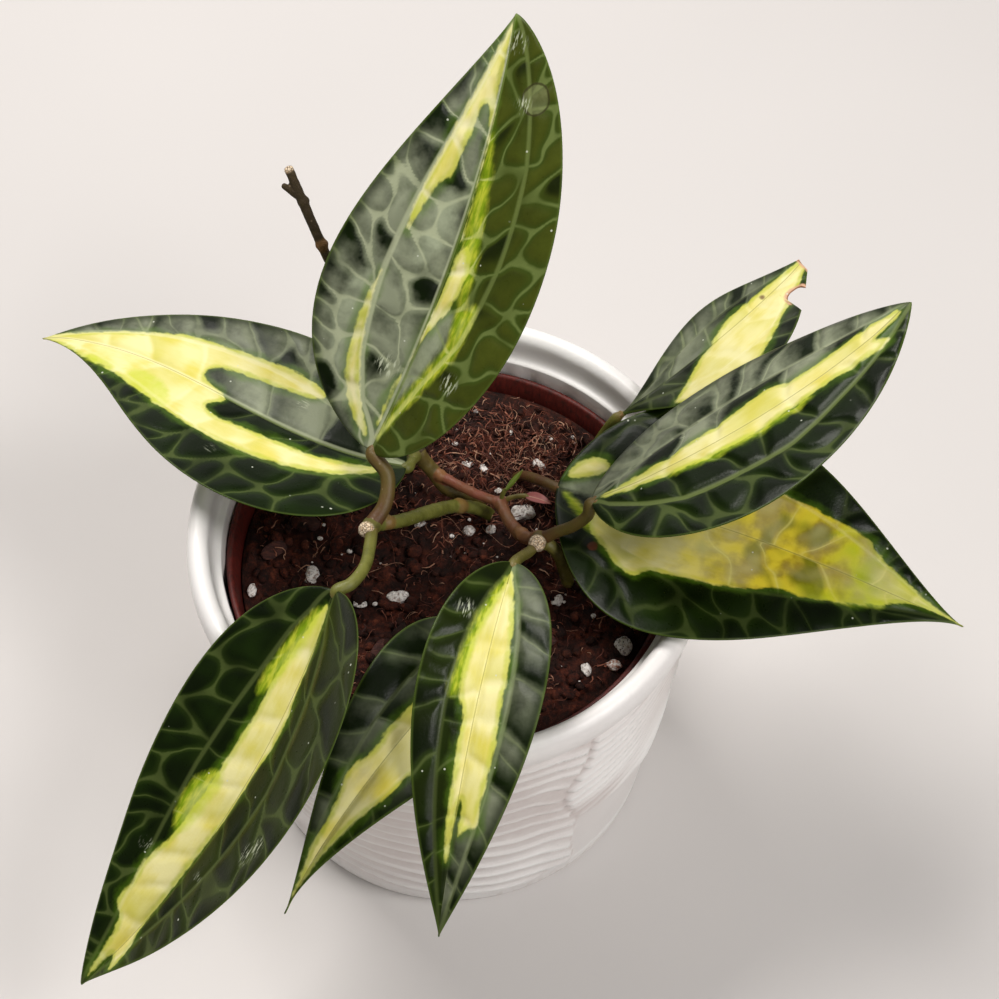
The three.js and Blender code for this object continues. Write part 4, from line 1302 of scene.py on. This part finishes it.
POT_PROFILE = [
    (0, 0), (62.5, 0), (64, 0.7), (64.5, 2.2), (64.9, 8), (72.9, 117.5), (74.3, 119.7), (75, 122.5),
    (75, 126.1), (74, 128.5), (72.2, 129.5), (70.4, 129.4), (68.9, 127.9), (68.4, 126), (68.2, 120.3),
    (65.9, 119.8), (65.7, 119), (59, 7.5), (57.5, 6), (0, 6),
]
FOOT_POINTS = 5  # of the profile, below the wall
WALL_FOOT = 8
WALL_NECK = 117.5
WALL_REACH = 64  # the carved wall lies further than this from the axis
POT_SECTORS = 400
WALL_STEP = 0.7
RIDGE = 1.7  # height of the carved ridges
GROUND_SINK = 0.25  # how far the ground between them lies inside the profile
OUT_OF_ROUND = 0.12


@dataclass
class Carved:
    """A field of combed ridges: where it starts (degrees from +X), the ridges' pitch and how they run.

    rises are how far the ridges climb over the field at the wall's foot, middle and neck. bare is the height
    below which the field is plain, droop how far the ridges bend down at the field's end.
    """

    start: float
    pitch: float
    rises: tuple
    bare: float
    droop: float


FIELDS = [
    Carved(-122, 7.6, (-8, 4, 8), 0, 7),
    Carved(-56, 6.2, (4, 13, 20), 42, 0),
    Carved(-12, 5.6, (4, -6, -10), 22, 6),
    Carved(31, 4.4, (-4, 8, 14), 0, 4),
    Carved(78, 6.4, (6, -4, -12), 30, 7),
    Carved(122, 4.6, (-6, 10, 12), 0, 0),
    Carved(160, 6.0, (8, -6, -8), 16, 6),
    Carved(203, 4.8, (-8, 6, 12), 34, 4),
]


def seam_at(degrees, z):
    """A seam between two fields wanders about its direction on its way up."""
    return degrees + 3.2 * np.sin(z / 19 + degrees) + 1.3 * np.sin(z / 7.5 + 2 * degrees)


def carving(angle, z):
    """How far the glaze stands out at each point of the wall, and whether it is combed there, both 0 to 1."""
    height, combed = np.zeros_like(z), np.zeros_like(z)
    degrees = np.degrees(angle)
    for k, made in enumerate(FIELDS):
        following = FIELDS[(k + 1) % len(FIELDS)]
        start = seam_at(made.start, z)
        width = (seam_at(following.start, z) - start) % 360
        turned_by = (degrees - start) % 360
        share = turned_by / width
        rise = np.interp(z, (15, 60, 105), made.rises)
        run = rise * share**1.5 - made.droop * smoothstep(0.82, 1.02, share)
        sway = 2.0 * flat_noise(degrees + 90 * k, z, 24.0, 40 + k) + 0.5 * flat_noise(degrees, z, 8.0, 60 + k)
        phase = (z - run - sway) / made.pitch
        below = phase - np.floor(phase)
        band = np.sin(np.pi * below**0.6) ** 0.8
        lip = np.exp(-np.square((below - 0.2) * made.pitch / 0.85))
        strength = np.clip(0.75 + 0.6 * flat_noise(degrees, z, 26.0, 80 + k), 0.35, 1)
        plain = smoothstep(made.bare - 3, made.bare + 3, z + 0.25 * turned_by - 6)
        ends = smoothstep(0.0, 0.02, share) * smoothstep(1.0, 0.975, share)
        carved = (0.3 * band + 0.75 * lip) * strength * plain * ends
        height = np.where(turned_by < width, carved, height)
        combed = np.where(turned_by < width, plain, combed)
    wall = smoothstep(WALL_FOOT, WALL_FOOT + 3, z) * smoothstep(WALL_NECK - 0.5, WALL_NECK - 3, z)
    return height * wall, combed * wall


def outer_pot(material):
    """The glazed outer pot, turned from its profile and pushed out where its wall is carved."""
    lower = softened(POT_PROFILE[:FOOT_POINTS], 1, closed=False)
    upper = softened(POT_PROFILE[FOOT_POINTS:], 2, closed=False)
    wall = refined([lower[-1], upper[0]], WALL_STEP)
    points, faces = turned([*lower[:-1], *wall, *upper[1:]], POT_SECTORS)
    x, y, z = points.T
    reach = np.maximum(np.hypot(x, y), 1e-6)
    on_wall = (z > WALL_FOOT) & (z < WALL_NECK) & (reach > WALL_REACH)
    carved, combed = np.zeros((2, len(points)))
    carved[on_wall], combed[on_wall] = carving(np.arctan2(y, x)[on_wall], z[on_wall])
    points[:, :2] *= (1 + (RIDGE * carved - GROUND_SINK * on_wall) / reach)[:, None]
    wobble = OUT_OF_ROUND * lattice_noise(points, 30.0, 5) * (points[:, 2] > 20)
    points[:, :2] *= (1 + wobble / reach)[:, None]
    marks = {"carving": np.stack([carved, combed, on_wall], -1)}
    mesh = make_mesh("ceramic_pot_glazed", (points, faces), marks)
    add_piece("ceramic_pot_glazed", mesh, [material], ["ceramic_pot"])


# The growing pot

DRAIN_RADIUS = 4.0
DRAIN_CIRCLE = 36.0
DRAIN_COUNT = 6
FLOOR_UNDERSIDE = 6.35
FLOOR_TOP = 7.65
GROWING_POT_SECTORS = 160
GROWING_POT_STEP = 9.0
GROWING_POT_PROFILE = [
    (0, FLOOR_UNDERSIDE), (49.7, FLOOR_UNDERSIDE), (51, FLOOR_UNDERSIDE + 1.2), (62.9, 108.5), (64.6, 109),
    (64.9, 114.5), (64.4, 115), (63.5, 115), (63.1, 114.4), (61.9, 107.5), (50, FLOOR_TOP), (0, FLOOR_TOP),
]


def growing_pot(material):
    """The thin plastic pot that the plant grows in, with drain holes cut through its floor."""
    profile = refined(GROWING_POT_PROFILE, GROWING_POT_STEP)
    mesh = make_mesh("growing_pot", turned(profile, GROWING_POT_SECTORS))
    holes = []
    for x, y, _ in level_ring(DRAIN_CIRCLE, 0, DRAIN_COUNT):
        heights = FLOOR_UNDERSIDE - 3, FLOOR_UNDERSIDE + 0.5, FLOOR_TOP + 3
        holes.append(tube(np.array([[x, y, z] for z in heights]), DRAIN_RADIUS, sides=24))
    mesh = cut(mesh, make_mesh("drain_holes", merged(holes)))
    add_piece("growing_pot", mesh, [material], ["nursery_pot"])


def modified(mesh, kind, **settings):
    """The mesh with one modifier applied."""
    holder = bpy.data.objects.new("holder", mesh)
    bpy.context.scene.collection.objects.link(holder)
    modifier = holder.modifiers.new("work", kind)
    for name, value in settings.items():
        setattr(modifier, name, value)
    bpy.context.view_layer.update()
    graph = bpy.context.evaluated_depsgraph_get()
    made = bpy.data.meshes.new_from_object(holder.evaluated_get(graph))
    bpy.data.objects.remove(holder)
    return made


def cut(mesh, tool_mesh):
    """The mesh with the other one cut away."""
    face_outwards(mesh)
    face_outwards(tool_mesh)
    tool = bpy.data.objects.new("tool", tool_mesh)
    bpy.context.scene.collection.objects.link(tool)
    made = modified(mesh, "BOOLEAN", object=tool, operation="DIFFERENCE", solver="EXACT")
    bpy.data.objects.remove(tool)
    return made


# The soil

SOIL_EDGE = 106.8
SOIL_RADIUS = 61.3
SOIL_CROWN = 2.2  # how much higher it lies in the middle
SOIL_BANK = 2.8  # and against the back wall
SOIL_WAVES = 0.7
LEVEL_REACH = 61  # how far from the axis the crown and the waves have run out
SOIL_WALL = [(49.2, 7.9), (49.6, 8.2), (53.3, 40), (57.4, 75), (60.9, 104.5)]
SOIL_RINGS = 112
SOIL_SECTORS = 360
CRUMB_COUNT = 1000
CRUMB_REACH = 59.0  # how far from the axis crumbs lie at most
FIBRE_COUNT = 2400
FIBRE_REACH = 57.0  # how far out fibres start at most
FIBRE_LIMIT = 59.5  # and how far out they may run
HEAP_PLACE = (17, 34)  # the middle of the matted heap of fibres
HEAP_SPREAD = (17, 13)


def soil_height(x, y):
    """The height of the soil's surface, apart from its crumbs."""
    reach = np.minimum(1, np.hypot(x, y) / LEVEL_REACH)
    waves = np.sin(x / 9 + 1) * np.cos(y / 7) + 0.6 * np.sin(x / 5 - y / 6)
    bank = SOIL_BANK * smoothstep(20, 58, y + 0.3 * x)
    return SOIL_EDGE + SOIL_CROWN * (1 - reach**2) + SOIL_WAVES * waves * (1 - reach**6) + bank


def ground_at(x, y):
    """The same at one place."""
    return float(soil_height(np.array(x), np.array(y)))


def soil_body(material):
    """The whole body of soil in the growing pot, with a crumbly top."""
    reach = SOIL_RADIUS * np.linspace(1, 0, SOIL_RINGS + 1)[:-1] ** 0.85
    top = np.array([level_ring(radius, 0, SOIL_SECTORS) for radius in reach])
    x, y, _ = top.reshape(-1, 3).T
    ground = np.stack([x, y, soil_height(x, y)], -1)
    calm = smoothstep(1.0, 0.97, np.hypot(x, y) / SOIL_RADIUS)
    rough = 1.1 * lattice_noise(ground, 6.0, 1) + 0.9 * np.abs(lattice_noise(ground, 2.8, 2))
    rough += 0.5 * np.abs(lattice_noise(ground, 1.4, 3)) + 0.25 * lattice_noise(ground, 0.8, 4)
    top[..., 2] = (ground[:, 2] + rough * calm - 0.6).reshape(SOIL_RINGS, SOIL_SECTORS)
    wall = [level_ring(radius, height, SOIL_SECTORS) for radius, height in SOIL_WALL]
    ends = [0, 0, SOIL_WALL[0][1]], [0, 0, top[-1, :, 2].mean()]
    points, faces = closed_rows(np.array([*wall, *top]), *ends)
    tone = np.stack([0.5 * (1 + lattice_noise(points, 3.0, 9))] * 3, -1)
    mesh = make_mesh("soil_bed", (points, faces), {"crumb": tone})
    add_piece("soil_bed", mesh, [material], ["soil"])


def spot_on_soil(random, most):
    """A random place on the soil, evenly spread."""
    reach = most * math.sqrt(random.random())
    angle = TURN * random.random()
    return reach * math.cos(angle), reach * math.sin(angle)


def crumbs(material):
    """Loose crumbs of soil, coarser on the left where the coir is less matted."""
    random = np.random.default_rng(21)
    ball, faces = lump(2)
    shapes, tones = [], []
    for k in range(CRUMB_COUNT):
        x, y = spot_on_soil(random, CRUMB_REACH)
        coarse = 0.5 + 1.6 * random.random() ** 2
        size = coarse * (1.15 if x < -10 else 0.85)
        squash = np.array([1, 0.6 + 0.4 * random.random(), 0.55 + 0.3 * random.random()])
        shape = ball * squash * size
        shape = shape * (1 + 0.28 * lattice_noise(ball * 10 + 30 * k, 7.0, k))[:, None]
        spin = spin_about_up(TURN * random.random())
        shapes.append((shape @ spin.T + [x, y, ground_at(x, y) + 0.25 + 0.25 * size], faces))
        tones.append(np.full((len(ball), 3), random.random()))
    mesh = make_mesh("soil_crumbs", merged(shapes), {"crumb": np.concatenate(tones)})
    add_piece("soil_crumbs", mesh, [material], ["soil"])


def fibres(material):
    """Coir fibres: a matted heap behind the stems, fewer elsewhere, and long loose ones over them."""
    random = np.random.default_rng(33)
    shapes, tones = [], []
    for k in range(FIBRE_COUNT):
        long = k % 18 == 0
        heaped = k % 5 < 3
        x, y = spot_on_soil(random, FIBRE_REACH)
        if heaped:
            x, y = [place + spread * random.normal() for place, spread in zip(HEAP_PLACE, HEAP_SPREAD)]
        length = 8 + 9 * random.random() if long else 1.4 + 4.6 * random.random() ** 1.5
        bend = random.normal() * (1.3 if long else 0.9)
        share = np.linspace(0, 1, 10 if long else 5)
        angle = TURN * random.random() + bend * share + 0.35 * np.sin(share * 6 + TURN * random.random())
        step = length / len(share)
        path = np.zeros((len(share), 3))
        path[:, 0] = x + np.cumsum(np.cos(angle)) * step
        path[:, 1] = y + np.cumsum(np.sin(angle)) * step
        lift = 0.5 + random.random() * (2.2 if heaped else 0.9)
        slope = 0.9 * random.normal() * (share - 0.5)
        if np.hypot(path[:, 0], path[:, 1]).max() > FIBRE_LIMIT:
            continue
        path[:, 2] = soil_height(path[:, 0], path[:, 1]) + lift + slope + 0.5 * np.sin(np.pi * share)
        thickness = (0.09 + 0.2 * random.random() ** 2) * (0.5 if long else 1) * (1 - 0.5 * share)
        shapes.append(tube(path, thickness, sides=3))
        tones.append(np.full((len(shapes[-1][0]), 3), random.random()))
    mesh = make_mesh("coir_fibres", merged(shapes), {"crumb": np.concatenate(tones)})
    add_piece("coir_fibres", mesh, [material], ["soil"])


# Perlite and bark on the soil, as (x, y, length, width, turn in degrees)

PERLITE = [
    (21, 15.6, 7.2, 5.2, 10), (-15, -13.4, 6.4, 4.6, 20), (-40.5, -6, 6.2, 4, 80),
    (-57.6, -10.9, 4, 2.8, 80), (25.5, 33, 4.6, 2.8, -35), (4, 32.6, 3.8, 2.6, 5),
    (9, 31.4, 3.6, 2.4, -50), (13.8, 24.2, 2.6, 2, 0), (5, 9.5, 3.8, 3.2, 0), (11.6, 9.8, 3.4, 2.8, 70),
    (-9.6, 11.5, 3.8, 2, 15), (31.4, -13.6, 3.6, 3, 60), (-25.8, -15.6, 4, 2.2, 0),
    (50.2, -27.2, 5.6, 5.2, 80), (47.4, -33.3, 4.6, 3, -10), (39.3, -35, 4.2, 2.8, 100),
]
SPECKLED = 13  # the grain with dark pits
RUSTY = 14  # and the one with an orange stain
BIT_COUNT = 110
BIT_REACH = 57.0
BARK_TILT = math.radians(8)
BARK = [
    (-52, 2, 9, 5, 40), (-42, 12, 7, 4.5, -30), (-33, -19, 6.5, 5, 10), (-19, -31, 8, 4.5, 60),
    (28, -27, 7, 4, 30),
]


def perlite_grain(index, spot, material):
    """A knobbly puffed grain, half sunk into the soil."""
    x, y, length, width, turn = spot
    ball, faces = lump(4)
    seed = 100 + index
    knobbly = 1 + 0.2 * lattice_noise(ball, 0.8, seed) + 0.12 * lattice_noise(ball, 0.4, seed)
    knobbly -= 0.08 * np.abs(lattice_noise(ball, 0.22, seed + 50))
    shape = ball * knobbly[:, None] * [length / 2, width / 2, width / 2.3]
    points = shape @ spin_about_up(math.radians(turn)).T + [x, y, ground_at(x, y) + 0.16 * width]
    stain = 0.35 + 0.3 * (index % 3)
    marks = np.tile([stain, float(index == SPECKLED), float(index == RUSTY)], (len(points), 1))
    name = f"perlite_grain_{index + 1:02d}"
    mesh = make_mesh(name, (points, faces), {"grain": marks})
    add_piece(name, mesh, [material], [f"perlite_{index + 1:02d}"])


def perlite_dust(material):
    """Small broken bits of perlite between the grains."""
    random = np.random.default_rng(5)
    ball, faces = lump(2)
    shapes = []
    for k in range(BIT_COUNT):
        x, y = spot_on_soil(random, BIT_REACH)
        size = 0.32 + 0.65 * random.random() ** 2
        shape = ball * (1 + 0.3 * lattice_noise(ball * 9 + 20 * k, 8.0, k))[:, None] * size
        shapes.append((shape * [1, 0.8, 0.7] + [x, y, ground_at(x, y) + 0.5 + 0.4 * size], faces))
    points, faces = merged(shapes)
    marks = np.tile([0.7, 0.3, 0.0], (len(points), 1))
    mesh = make_mesh("perlite_bits", (points, faces), {"grain": marks})
    add_piece("perlite_bits", mesh, [material], ["soil"])


def bark_chip(index, spot, material):
    """A flat splinter with rounded corners and a torn, grooved surface."""
    x, y, length, width, turn = spot
    ball, faces = lump(4)
    corners = np.sign(ball) * np.abs(ball) ** 0.62
    shape = corners * [length / 2.2, width / 2.2, 1.15]
    seed = 200 + index
    shape = shape + 0.45 * lattice_noise(ball, 0.7, seed)[:, None] * [1, 1, 0.5]
    grooves = 0.22 * np.abs(lattice_noise(shape * [0.3, 1, 1], 0.9, seed + 9))
    shape[:, 2] -= grooves * np.sign(shape[:, 2])
    c, s = math.cos(BARK_TILT), math.sin(BARK_TILT)
    lean = np.array([[1, 0, 0], [0, c, -s], [0, s, c]])
    points = shape @ lean.T @ spin_about_up(math.radians(turn)).T + [x, y, ground_at(x, y) + 0.7]
    name = f"bark_chip_{index + 1}"
    add_piece(name, make_mesh(name, (points, faces)), [material], [f"bark_{index + 1}"])


# The stems. A run is a radius, its points, and how red and how dry its bark is. Swellings, cuts and rings are
# a place and a radius.

MAIN_RUNS = [
    (2.2, [(9.4, 21.3, 92), (9.4, 21.3, 104), (4.5, 19.8, 112.5), (-1, 19.5, 116.5), (-6, 22.5, 122),
           BACK_NODE], 0.2, 0.1),
    (1.4, [BACK_NODE, (-17, 34, 141), (-26, 45, 160), (-35, 56, 178), (-45, 69, 200)], 0.15, 1.0),
    (0.9, [(-41.4, 64.5, 192), (-46.5, 66, 196.5)], 0.15, 1.0),
    (1.5, [SHOOT_BUD, (5.3, 15.7, 121.5), MIDDLE_NODE], 0.95, 0.0),
    (1.9, [MIDDLE_NODE, (17.7, 3.2, 123.3), (21.5, -2.7, 126.6), RIGHT_NODE], 0.75, 0.0),
    (1.9, [RIGHT_NODE, (29.5, -5.8, 126), (32.5, -6.8, 118.5), (34.4, -7.2, 107), (34.4, -7.2, 92)],
     0.05, 0.0),
    (2.5, [RIGHT_NODE, (24.6, -7.9, 131.5)], 0.2, 0.25),
]
MAIN_SWELLINGS = [
    (RIGHT_NODE, 2.9), (MIDDLE_NODE, 2.3), (BACK_NODE, 2.6), (SHOOT_BUD, 2.1), ((-41.3, 64.4, 191.8), 1.8),
]
MAIN_CUTS = [((24.6, -7.9, 131.5), 2.5), ((-45, 69, 200), 1.4)]
MAIN_RINGS = [(SHOOT_BUD, 1.6), ((-36.5, 58, 181.2), 1.5), ((20.5, -1.4, 125.8), 1.8)]

LEFT_RUNS = [
    (2.05, [(12, 16.5, 92), (12, 16.5, 104), (8.5, 15, 112.5), (2.2, 12.7, 118), (-5.9, 4.9, 127),
            (-13.8, -3.8, 136), LEFT_NODE], 0.1, 0.0),
    (2.3, [LEFT_NODE, (-22.6, -12.2, 144.3)], 0.25, 0.3),
]
LEFT_SWELLINGS = [(LEFT_NODE, 2.8), ((2.2, 12.7, 118), 2.4)]
LEFT_CUTS = [((-22.6, -12.2, 144.3), 2.3)]
LEFT_RINGS = [((2.2, 12.7, 118), 2.0), ((-17.2, -6.3, 139.2), 1.8)]
STEM_VOXEL = 0.36
RING_SWELL = 1.25  # how much wider than the ring the knob that carries it is
BARK_ROUGHNESS = 0.14  # how far the bark is uneven at most


def stem_piece(name, node, runs, swellings, cuts, rings, material):
    """Fuses the runs and the swollen joints into one skin and marks its bark."""
    shapes, samples = [], []
    for radius, points, red, dry in runs:
        path = through(points, per_span=12)
        run = lengths_along(path)
        knobbly = 1 + 0.04 * np.sin(run / 5.3 + radius * 9) + 0.02 * np.sin(run / 2.1)
        shapes.append(tube(path, radius * knobbly, STALK_SIDES))
        samples.append(np.column_stack([path, run, np.full(len(run), red), np.full(len(run), dry)]))
    ball, faces = lump(3)
    for centre, radius in swellings:
        rough = radius * (1 + 0.1 * lattice_noise(ball, 0.7, int(radius * 10)))
        shapes.append((ball * rough[:, None] + centre, faces))
    for centre, radius in rings:
        shapes.append((ball * radius * RING_SWELL + centre, faces))
    fused = modified(make_mesh(name, merged(shapes)), "REMESH", mode="VOXEL", voxel_size=STEM_VOXEL * MM)
    place = relaxed(fused, np.array([v.co for v in fused.vertices]) / MM, rounds=3)
    samples = np.concatenate(samples)
    nearest = samples[[np.square(samples[:, :3] - p).sum(1).argmin() for p in place]]
    run, red, dry = nearest[:, 3:].T
    cut_face, ring = np.zeros((2, len(place)))
    for centre, radius in cuts:
        gap = np.linalg.norm(place - centre, axis=1)
        cut_face = np.maximum(cut_face, smoothstep(radius * 1.25, radius * 0.95, gap))
    for centre, radius in rings:
        gap = np.linalg.norm(place - centre, axis=1)
        ring = np.maximum(ring, np.exp(-np.square((gap - radius * 1.2) / 0.5)))
    out = place - nearest[:, :3]
    rough = np.minimum(BARK_ROUGHNESS, 0.06 * np.linalg.norm(out, axis=1))
    place = place + (rough * lattice_noise(place, 1.3, 7))[:, None] * unit(out)
    faces = [list(p.vertices) for p in fused.polygons]
    marks = {"bark": np.stack([red, dry, cut_face], -1), "run": np.stack([run, run * 0, ring], -1)}
    add_piece(name, make_mesh(name, (place, faces), marks), [material], [node])


def relaxed(mesh, place, rounds):
    """The mesh's points after each has moved halfway to the middle of its neighbours a few times."""
    pairs = np.array([e.vertices[:] for e in mesh.edges])
    count = np.zeros(len(place))
    np.add.at(count, pairs.ravel(), 1)
    for _ in range(rounds):
        total = np.zeros_like(place)
        np.add.at(total, pairs[:, 0], place[pairs[:, 1]])
        np.add.at(total, pairs[:, 1], place[pairs[:, 0]])
        place = 0.5 * place + 0.5 * total / count[:, None]
    return place


SMALL_LEAF = 30  # a leaf shorter than this is a tiny new one
STALK_RING = (0.97, 0.03)  # the middle and the spread of the brown ring along a stalk


def leaf_piece(leaf, index, blade_material, stalk_material):
    """A blade, its stalk and the collar between them as one piece. A tiny leaf has no collar."""
    small = leaf.length < SMALL_LEAF
    size = dict(along=40, across=20, under=12) if small else {}
    shape, marks = blade(leaf, 10 * index + 3, **size)
    stalk_shape, path, run = stalk(leaf)
    parts = [shape, stalk_shape] if small else [shape, stalk_shape, collar(leaf)]
    points, faces = merged(parts)
    blank = np.zeros((len(shape[0]), 3))
    nearest = [np.square(path - p).sum(1).argmin() for p in points[len(blank) :]]
    share = run[nearest] / run[-1]
    ring = np.exp(-np.square((share - STALK_RING[0]) / STALK_RING[1])) * 0.6
    if not small:
        ring[-len(parts[2][0]) :] = 1.0
    red = leaf.stalk_red + 0.5 * np.exp(-np.square(share / 0.2))
    none = np.zeros_like(share)
    bare = np.stack([none, none, none], -1)
    marks = {name: np.concatenate([values, bare]) for name, values in marks.items()}
    marks["bark"] = np.concatenate([blank, np.stack([red, none, none], -1)])
    marks["run"] = np.concatenate([blank, np.stack([run[nearest], none, ring], -1)])
    name = f"{leaf.name}_grown"
    materials = [blade_material, stalk_material]
    piece = add_piece(name, make_mesh(name, (points, faces), marks), materials, [leaf.name])
    beyond_blade = np.arange(len(faces)) >= len(shape[1])
    piece.data.polygons.foreach_set("material_index", beyond_blade.astype(int))


# The studio

FLOOR_HALF = 20.0


def add_floor():
    """A wide plain floor under the pot, which is no part of the object."""
    corners = [(x * FLOOR_HALF, y * FLOOR_HALF, 0) for x, y in ((-1, -1), (1, -1), (1, 1), (-1, 1))]
    mesh = bpy.data.meshes.new("floor")
    mesh.from_pydata(corners, [], [(0, 1, 2, 3)])
    mesh.materials.append(floor_finish())
    floor = bpy.data.objects.new("floor", mesh)
    bpy.context.scene.collection.objects.link(floor)


PLANT_MIDDLE = (0.01, 0, 0.13)
DAYLIGHT = (1.0, 0.98, 0.96)
PANELS = [  # name, place, size, watts, colour
    ("key", (-0.45, 0.55, 1.3), (0.6, 0.6), 16, (1.0, 0.97, 0.93)),
    ("rake", (0.75, -0.4, 1.45), (0.4, 0.4), 9.5, DAYLIGHT),
    ("front", (0.9, -1.0, 0.9), (0.6, 0.5), 5, DAYLIGHT),
    ("back", (-0.3, 1.7, 0.8), (1.8, 1.0), 5, DAYLIGHT),
]
WORLD_COLOUR = (1.0, 0.97, 0.95, 1)
WORLD_STRENGTH = 0.18


def add_lights():
    """Soft rectangular lights that face the plant, and a dim even world."""
    for name, place, size, watts, colour in PANELS:
        data = bpy.data.lights.new(name, "AREA")
        data.shape = "RECTANGLE"
        data.size, data.size_y = size
        data.energy = watts
        data.color = colour
        lamp = bpy.data.objects.new(name, data)
        lamp.location = place
        lamp.rotation_euler = (Vector(PLANT_MIDDLE) - Vector(place)).to_track_quat("-Z", "Y").to_euler()
        bpy.context.scene.collection.objects.link(lamp)
    world = bpy.data.worlds.new("studio")
    world.use_nodes = True
    background = world.node_tree.nodes["Background"]
    background.inputs["Color"].default_value = WORLD_COLOUR
    background.inputs["Strength"].default_value = WORLD_STRENGTH
    bpy.context.scene.world = world


CAMERA_PLACE = (0.014, -0.288, 0.6)
LOOKS_DOWN = 57.83  # degrees below level
CAMERA_ROLL = 0.96  # degrees
LENS = 69.95
SENSOR = 36.0


def add_camera():
    """A camera that looks level with the Y axis and down on the plant, turned a little about its own axis."""
    down, roll = math.radians(LOOKS_DOWN), math.radians(CAMERA_ROLL)
    forward = Vector((0, math.cos(down), -math.sin(down)))
    up = Vector((0, math.sin(down), math.cos(down)))
    right = Vector((1, 0, 0))
    tilted_right = math.cos(roll) * right + math.sin(roll) * up
    tilted_up = math.cos(roll) * up - math.sin(roll) * right
    data = bpy.data.cameras.new("camera")
    data.lens = LENS
    data.sensor_width = SENSOR
    camera = bpy.data.objects.new("camera", data)
    turn = Matrix((tilted_right, tilted_up, -forward)).transposed()
    camera.matrix_world = Matrix.Translation(CAMERA_PLACE) @ turn.to_4x4()
    bpy.context.scene.collection.objects.link(camera)
    bpy.context.scene.camera = camera


# Assembly

add_camera()
add_floor()
add_lights()
bpy.context.scene.view_settings.view_transform = "Standard"

outer_pot(ceramic_finish())
growing_pot(plastic_finish())

soil_material = soil_finish()
soil_body(soil_material)
crumbs(soil_material)
fibres(fibre_finish())

perlite_material = perlite_finish()
for index, spot in enumerate(PERLITE):
    perlite_grain(index, spot, perlite_material)
perlite_dust(perlite_material)
bark_material = bark_finish()
for index, spot in enumerate(BARK):
    bark_chip(index, spot, bark_material)

main_bark = stem_finish("main_stem_bark", "#4d4a1d", "#6f6a2c", "#7d4634")
left_bark = stem_finish("left_stem_bark", "#565a1f", "#7a7d38", "#573a1e")
stem_piece("main_stem_bark", "main_stem", MAIN_RUNS, MAIN_SWELLINGS, MAIN_CUTS, MAIN_RINGS, main_bark)
stem_piece("left_stem_bark", "left_stem", LEFT_RUNS, LEFT_SWELLINGS, LEFT_CUTS, LEFT_RINGS, left_bark)

leaf_material = leaf_finish()
for index, leaf in enumerate(LEAVES):
    leaf_piece(leaf, index, leaf_material, left_bark)
young_red = young_finish("young_leaf_red", "#8c4a45", "#b5716b")
young_green = young_finish("young_leaf_green", "#6f8f2e", "#8aa83d")
leaf_piece(YOUNG_LEAVES[0], 20, young_red, main_bark)
leaf_piece(YOUNG_LEAVES[1], 21, young_green, left_bark)
